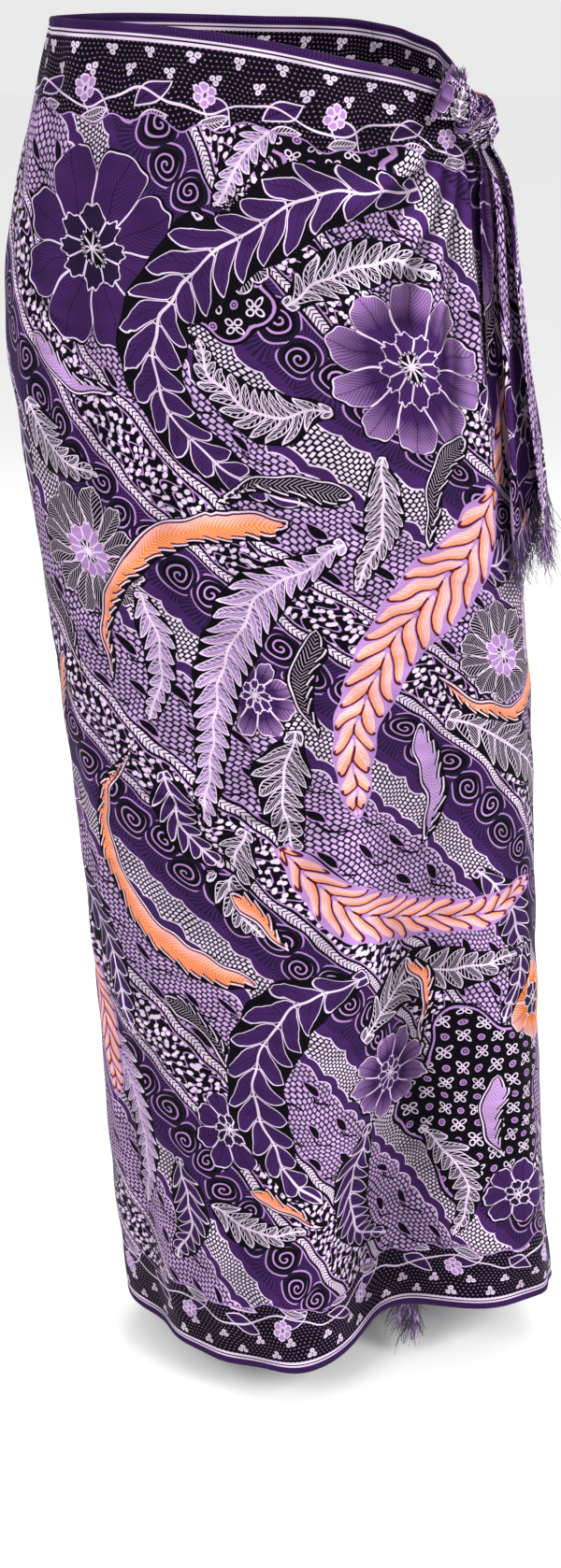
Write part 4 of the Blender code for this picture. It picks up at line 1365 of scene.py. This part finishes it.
KNOT_MIDDLE = np.array((0.1516, -0.0656, -0.0640))
KNOT_AXIS = unit(np.array((0.497, 0.627, -0.600)))
KNOT_OUT = unit(np.array((0.784, -0.621, 0.0)))
KNOT_SIDE_WAY = np.cross(KNOT_AXIS, KNOT_OUT)
BAND_COLUMNS = ("side", "out", "along", "half_width", "half_depth")
THROAT = (
    (0.0000, -0.0105, -0.0310, 0.0185, 0.0030),
    (0.0000, -0.0085, -0.0235, 0.0165, 0.0045),
    (0.0000, -0.0030, -0.0140, 0.0120, 0.0075),
    (0.0000, 0.0000, -0.0040, 0.0090, 0.0085),
    (0.0000, 0.0005, 0.0060, 0.0090, 0.0088),
    (0.0000, 0.0000, 0.0150, 0.0118, 0.0095),
    (0.0000, -0.0020, 0.0205, 0.0120, 0.0080),
)
THROAT_PLEATS = (9, 0.17)
TURN_ANGLES = (-2.6, 4.3)
TURN_REACH = 0.0118
TURN_FALL = 0.0042
TURN_HALF_WIDTH = 0.0068
TURN_HALF_DEPTH = 0.0040
TURN_PLEATS = (7, 0.19)
BAND_SIDES = 96
PLEAT_DRIFT = 46.0
FLAT_ROUND = 0.022


def gathered_band(name, middle, frame_out, half_width, half_depth, pleats, flat_start, node):
    """A tightly gathered band of cloth: an ellipse carried along a line, with pleats that run lengthwise.

    The ellipse's reach grows and shrinks with two waves round it, the pleats, which drift round the band
    as they run along it. The flat place is the way round and the way along, from the flat start. The
    pleats' troughs get painted shade and their crests painted light, a little darker on the whole.
    """
    pleats, depth = pleats
    across, out = band_frame(middle, frame_out)
    length = np.cumsum(np.linalg.norm(np.gradient(middle, axis=0), axis=1))[:, None]
    angle = np.linspace(0.0, 2.0 * math.pi, BAND_SIDES, endpoint=False)
    drift = length * PLEAT_DRIFT
    pleat = np.cos(pleats * angle + drift) * 0.65 + np.cos((2 * pleats - 3) * angle - drift * 1.7) * 0.35
    reach = 1.0 + depth * (pleat - 0.25)
    rings = (middle[:, None] + across[:, None] * (np.cos(angle) * reach * half_width)[..., None]
             + out[:, None] * (np.sin(angle) * reach * half_depth)[..., None])
    mesh = tube_mesh(name, rings)
    x = flat_start[0] + angle * FLAT_ROUND + length * 0.0
    y = flat_start[1] + length * 2.0 + angle * 0.0
    # Painted shade in the pleats' troughs and painted light on their crests, a little darker on the whole.
    print_on(mesh, with_ends(x), with_ends(y), with_ends(np.clip(0.1 - pleat * 1.2, -1.0, 1.0)))
    add_piece(name, mesh, "cloth_knot", node)


def band_frame(middle, out):
    """The way across a band and the way out of it, both square to its line."""
    along = unit(np.gradient(middle, axis=0))
    out = unit(out - along * np.sum(out * along, axis=1, keepdims=True))
    return np.cross(along, out), out


sizes = table(THROAT, BAND_COLUMNS)
at = np.linspace(0, 1, 72)
knots = np.linspace(0, 1, len(THROAT))
side, out, along, half_width, half_depth = (smooth(at, knots, sizes[name])[:, None] for name in BAND_COLUMNS)
middle = KNOT_MIDDLE + side * KNOT_SIDE_WAY + out * KNOT_OUT + along * KNOT_AXIS
gathered_band("knot_throat", middle, np.repeat(KNOT_OUT[None], len(middle), axis=0), half_width, half_depth,
              THROAT_PLEATS, (0.150, 0.880), "knot_core")

at = np.linspace(0, 1, 120)[:, None]
angle = TURN_ANGLES[0] + (TURN_ANGLES[1] - TURN_ANGLES[0]) * at
ends = ramp(at, 0.0, 0.12) * (1.0 - ramp(at, 0.86, 1.0))
ring = np.cos(angle) * KNOT_OUT + np.sin(angle) * KNOT_SIDE_WAY
middle = KNOT_MIDDLE + ring * TURN_REACH * (0.72 + 0.28 * ends) + KNOT_AXIS * (TURN_FALL * (at - 0.5) * 2.0)
half_width = TURN_HALF_WIDTH * (0.35 + 0.65 * ends) * (1.0 + 0.12 * np.sin(angle * 1.3))
half_depth = TURN_HALF_DEPTH * (0.45 + 0.55 * ends)
gathered_band("knot_turn", middle, ring, half_width, half_depth, TURN_PLEATS, (0.200, 0.700), "knot_wrap")

# Tails: the outer corner of the cloth comes out of the knot and hangs down, folded to and fro, and a short
# end stands up out of the knot's top.

TAIL_COLUMNS = ("x", "y", "z", "width", "depth")
LONG_TAIL = (
    (0.1600, -0.0485, -0.0798, 0.015, 0.0105),
    (0.1750, -0.0430, -0.1120, 0.026, 0.0130),
    (0.1835, -0.0380, -0.1760, 0.034, 0.0150),
    (0.1925, -0.0350, -0.2430, 0.040, 0.0190),
    (0.2010, -0.0330, -0.3050, 0.046, 0.0250),
    (0.2060, -0.0320, -0.3450, 0.050, 0.0290),
)
LONG_TAIL_ACROSS = (0.30, 0.95, 0.0)
SHORT_TAIL = (
    (0.1405, -0.0640, -0.0496, 0.013, 0.0095),
    (0.1390, -0.0650, -0.0445, 0.015, 0.0105),
)
SHORT_TAIL_ACROSS = (0.80, 0.60, 0.0)
LONG_TAIL_DROPS = (0.030, 0.012)
TAIL_PASSES = 3
TAIL_TRIM = 0.20
INMOST_SHARE = 0.35


def zigzag(fold):
    """Angle of the to and fro of a tail, from just past one turn to just short of the last one."""
    return math.pi * (TAIL_TRIM + fold * (TAIL_PASSES - 2 * TAIL_TRIM))


def tail_surface(rows, across, grid, drops, crumple, inward):
    """The folded corner of the cloth: at each place down the tail the section is a zigzag.

    The zigzag is a cosine across the tail of three half waves, spread evenly through its depth. An inmost
    pass, where the fold is below nothing, slants back across and in towards the skirt. Small creases run
    down the tail, and its free end slants from side to side and through its depth. The creases also give
    a painted shade, 1 in their troughs and -1 on their ridges.
    """
    sizes = table(rows, TAIL_COLUMNS)
    knots = np.linspace(0, 1, len(rows))
    first = -INMOST_SHARE if inward > 0.0 else 0.0
    fold, down = np.meshgrid(np.linspace(first, 1, grid[0]), np.linspace(0, 1, grid[1]))
    x, y, z, width, depth = (smooth(down, knots, sizes[name]) for name in TAIL_COLUMNS)
    across = unit(np.array(across, float))
    outward = np.array((across[1], -across[0], 0.0))
    inmost = np.clip(-fold / INMOST_SHARE, 0.0, 1.0)
    outer = np.maximum(fold, 0.0)
    sway = np.cos(zigzag(outer)) - 1.7 * inmost
    creases = np.sin(fold * 31.0 + down * 5.0) * 0.6 + np.sin(fold * 53.0 - down * 8.0 + 1.0) * 0.4
    stand = depth * (outer - 0.5) + crumple * creases * ramp(down, 0.02, 0.3)
    stand = stand - inward * inmost * ramp(down, 0.05, 0.25) * (1.0 - 0.5 * ramp(down, 0.5, 1.0))
    middle = np.stack([x, y, z], axis=-1)
    points = middle + (width / 2 * sway)[..., None] * across + stand[..., None] * outward
    slope = drops[0] / 2 * sway + drops[1] * (fold - 0.5)
    points[..., 2] += slope * ramp(down, 0.3, 1.0)
    # Painted shade from the creases: 1 in their troughs and -1 on their ridges.
    return points, fold, down, np.clip(-creases * ramp(down, 0.02, 0.3), -1.0, 1.0)


def tail_piece(name, node, flat_start, flat_size, shade, *form):
    """A tail as a printed piece with painted shade in its creases, with the line of its free end and the way
    on from there.
    """
    points, fold, down, painted_shade = tail_surface(*form)
    mesh = grid_mesh(name, points)
    print_on(mesh, flat_start[0] + fold * flat_size[0], flat_start[1] + down * flat_size[1],
             painted_shade * shade[0] + shade[1])
    return thin_wall(add_piece(name, mesh, "cloth_tail", node)), points[-1], points[-1] - points[-2]


# The long tail's crease shade is painted at 0.7 and offset by -0.4, so its whole print is painted a fifth
# lighter: painted light.
long_tail, *long_tail_end = tail_piece(
    "long_tail", "tail_long", (0.250, 0.900), (0.15, -0.26), (0.7, -0.4),
    LONG_TAIL, LONG_TAIL_ACROSS, (190, 140), LONG_TAIL_DROPS, 0.0012, 0.008)
short_tail, *short_tail_end = tail_piece(
    "short_tail", "tail_short", (0.100, 0.700), (0.03, 0.01), (1.0, 0.0),
    SHORT_TAIL, SHORT_TAIL_ACROSS, (60, 20), (0.0, 0.0), 0.0003, 0.0)

# Fringe: the short ends of the cloth are not hemmed. Their crosswise threads are drawn out, and the yarns
# that are left hang in thin twisted locks: at the tail, down the outer end, and under the inner end.

FRINGE_SEED = 7
YARN_SIDES = 4
YARN_RINGS = 9


def yarn_mesh(name, roots, bends, tips, thickness, curl, draws):
    """Many yarns as one mesh: each is a thin tube along a bent line, with a curl that grows to its tip.

    The line is a quadratic curve through root, bend and tip. The curl is a pair of waves across it, and
    the tube's reach falls from the root to a third at the tip.
    """
    count = len(roots)
    share = np.linspace(0.0, 1.0, YARN_RINGS)[None, :, None]
    pulls = bends * 2 - (roots + tips) / 2
    line = roots[:, None] * (1 - share)**2 + pulls[:, None] * 2 * share * (1 - share)
    line = line + tips[:, None] * share**2
    phase = draws.uniform(0.0, 2.0 * math.pi, (count, 1, 3))
    speed = draws.uniform(5.0, 13.0, (count, 1, 3))
    line = line + curl * share**1.3 * np.sin(share * speed + phase)
    ahead = unit(np.gradient(line, axis=1))
    side = unit(np.cross(ahead, np.array((0.31, 0.22, 0.93))))
    out = np.cross(ahead, side)
    angle = np.linspace(0.0, 2.0 * math.pi, YARN_SIDES, endpoint=False)
    reach = (thickness[:, None, None] * (1.0 - 0.66 * share))[..., None]
    around = np.cos(angle)[:, None] * side[:, :, None] + np.sin(angle)[:, None] * out[:, :, None]
    rings = line[:, :, None] + reach * around
    corner = np.arange(count * YARN_RINGS * YARN_SIDES).reshape(count, YARN_RINGS, YARN_SIDES)
    after = np.roll(corner, -1, axis=2)
    walls = np.stack([corner[:, :-1], after[:, :-1], after[:, 1:], corner[:, 1:]], axis=-1).reshape(-1, 4)
    ends = np.concatenate([corner[:, 0, ::-1], corner[:, -1]])
    mesh = bpy.data.meshes.new(name)
    mesh.from_pydata(rings.reshape(-1, 3), [], np.concatenate([walls, ends]))
    mesh.shade_smooth()
    tone = np.repeat(draws.uniform(0.0, 1.0, count), YARN_RINGS * YARN_SIDES)
    attribute = mesh.attributes.new("yarn_tone", "FLOAT", "POINT")
    attribute.data.foreach_set("value", tone.astype(np.float32))
    return mesh


def yarn_material():
    """Twisted rayon yarn, dyed with the print: most yarns dark, some purple or pale, blotched along them."""
    material, tree, shader = new_material("fringe_yarn", {"Sheen Weight": 0.15})
    tone = attribute_wire(tree, "yarn_tone")
    where = tree.nodes.new("ShaderNodeTexCoord")
    blotch = tree.nodes.new("ShaderNodeTexNoise")
    feed(blotch, Vector=Wire(tree, where.outputs["Object"]), Scale=120.0)
    mottle = Wire(tree, blotch.outputs[0])
    colour = mixed(tree, NIGHT, PURPLE, (tone + mottle * 0.5).above(0.62, 0.15))
    colour = colour.painted((LILAC, (tone + mottle * 0.6).above(1.10, 0.12)))
    feed(shader, {"Base Color": colour}, Roughness=mottle.turned(0.3, 0.5))
    return material


def along_line(line, count, locks, draws):
    """Points along a line, gathered into a number of locks, and a reader of other values at those places."""
    steps = np.linalg.norm(np.diff(line, axis=0), axis=1)
    share = np.concatenate([[0.0], np.cumsum(steps)]) / steps.sum()
    places = (np.floor(np.linspace(0, locks - 0.001, count)) + 0.5 + draws.normal(0.0, 0.22, count)) / locks

    def read(values):
        if values.ndim == 1:
            return np.interp(places, share, values)
        return np.stack([np.interp(places, share, column) for column in values.T], axis=1)

    return read(line), read


fringe_yarn = yarn_material()
draws = np.random.default_rng(FRINGE_SEED)


def fringe_piece(name, roots, bends, tips, thick, curl, node):
    """A fringe as a piece, each of its yarns with a thickness and a curl of its own."""
    thickness = thick * draws.uniform(0.6, 1.4, len(roots))
    mesh = yarn_mesh(name, roots, bends, tips, thickness, curl, draws)
    mesh.materials.append(fringe_yarn)
    add_piece(name, mesh, "fringe_yarn", node)


# end line and the way on, yarns, locks, longest yarn, thickness
for name, (end_line, ahead), count, locks, longest, thick, node in (
    ("long_tail_fringe", long_tail_end, 760, 90, 0.046, 0.00036, "fringe_tail_long"),
    ("short_tail_fringe", short_tail_end, 260, 14, 0.0135, 0.00045, "fringe_tail_short"),
):
    roots, _ = along_line(end_line, count, locks, draws)
    fall = unit(ahead.mean(axis=0))
    long = longest * draws.uniform(0.55, 1.0, (count, 1))
    spread = draws.normal(0.0, 0.10, (count, 3)) * longest
    bends = roots + fall * long * 0.5 + spread * 0.25
    tips = roots + fall * long + spread
    fringe_piece(name, roots - fall * 0.001, bends, tips, thick, longest * 0.045, node)

# grid, its end column and rows, layer, yarns, locks, sway, longest yarn, thickness, stray at the tips
for name, (turn, height), column, rows, layer, count, locks, sway, longest, thick, stray_reach, node in (
    ("outer_fringe", outer_grid, -1, slice(6, None), 1.0, 620, 120, 0.45, 0.046, 0.0004,
     (0.002, 0.001, 0.002), "fringe_outer"),
    ("inner_fringe", inner_grid, 0, slice(-34, None), 0.0, 640, 12, -0.20, 0.052, 0.0006,
     (0.008, 0.0012, 0.004), "fringe_inner"),
):
    end_turns, end_heights = turn[rows, column], height[rows, column]
    roots, read = along_line(cloth_point(end_turns, end_heights, layer), count, locks, draws)
    turns, heights = read(end_turns), read(end_heights)
    long = longest * draws.uniform(0.6, 1.0, count)
    bends, tips = (
        cloth_point(turns + np.degrees(sway * long * share / ROUND_REACH), heights - long * share, layer)
        for share in (0.5, 1.0)
    )
    stray = draws.normal(0.0, 1.0, (count, 3)) * stray_reach
    tips = tips + stray
    tips[:, 2] = np.maximum(tips[:, 2], cad_box[0][2] + 0.003)
    fringe_piece(name, roots, bends + stray * 0.4, tips, thick, 0.0018, node)

# Floor, lights and camera, at the photograph's angle: from the front, a little above, looking down.

FLOOR_HEIGHT = cad_box[0][2] - 0.0015
FLOOR_SIZE = 60.0
AIR_STRENGTH = 0.82
# name, place, the place it looks at, size, power
SOFTBOXES = (
    ("softbox_left", (-1.6, -2.2, 1.3), (0.0, 0.0, -0.5), 1.4, 54.0),
    ("softbox_right", (1.9, -1.8, 0.9), (0.0, 0.0, -0.5), 1.2, 60.0),
    ("softbox_back", (0.3, 2.0, 1.4), (0.0, 0.0, -0.4), 1.4, 30.0),
)
CAMERA_PLACE = (0.02, -1.49, 0.0)
CAMERA_DOWN = 21.1
SENSOR_WIDTH = 36.0
LENS = 45.68

bpy.ops.mesh.primitive_plane_add(size=FLOOR_SIZE, location=(0.0, 0.0, FLOOR_HEIGHT))
floor = bpy.context.active_object
floor.name = "studio_floor"
paper, _, _ = new_material(
    "pale_paper", {"Base Color": (0.985, 0.985, 0.985, 1.0), "Roughness": 0.9, "Specular IOR Level": 0.0})
floor.data.materials.append(paper)

world = bpy.data.worlds.new("studio_air")
world.use_nodes = True
feed(world.node_tree.nodes["Background"], Color=(1.0, 1.0, 1.0, 1.0), Strength=AIR_STRENGTH)
bpy.context.scene.world = world

for name, place, aim, size, power in SOFTBOXES:
    lamp = bpy.data.lights.new(name, "AREA")
    lamp.size = size
    lamp.energy = power
    lamp_object = bpy.data.objects.new(name, lamp)
    lamp_object.location = place
    lamp_object.rotation_euler = (Vector(aim) - Vector(place)).to_track_quat("-Z", "Y").to_euler()
    bpy.context.scene.collection.objects.link(lamp_object)

bpy.context.scene.view_settings.view_transform = "Standard"
camera_data = bpy.data.cameras.new("camera")
camera_data.sensor_width = SENSOR_WIDTH
camera_data.lens = LENS
camera = bpy.data.objects.new("camera", camera_data)
camera.location = CAMERA_PLACE
camera.rotation_euler = (math.radians(90.0 - CAMERA_DOWN), 0.0, 0.0)
bpy.context.scene.collection.objects.link(camera)
bpy.context.scene.camera = camera
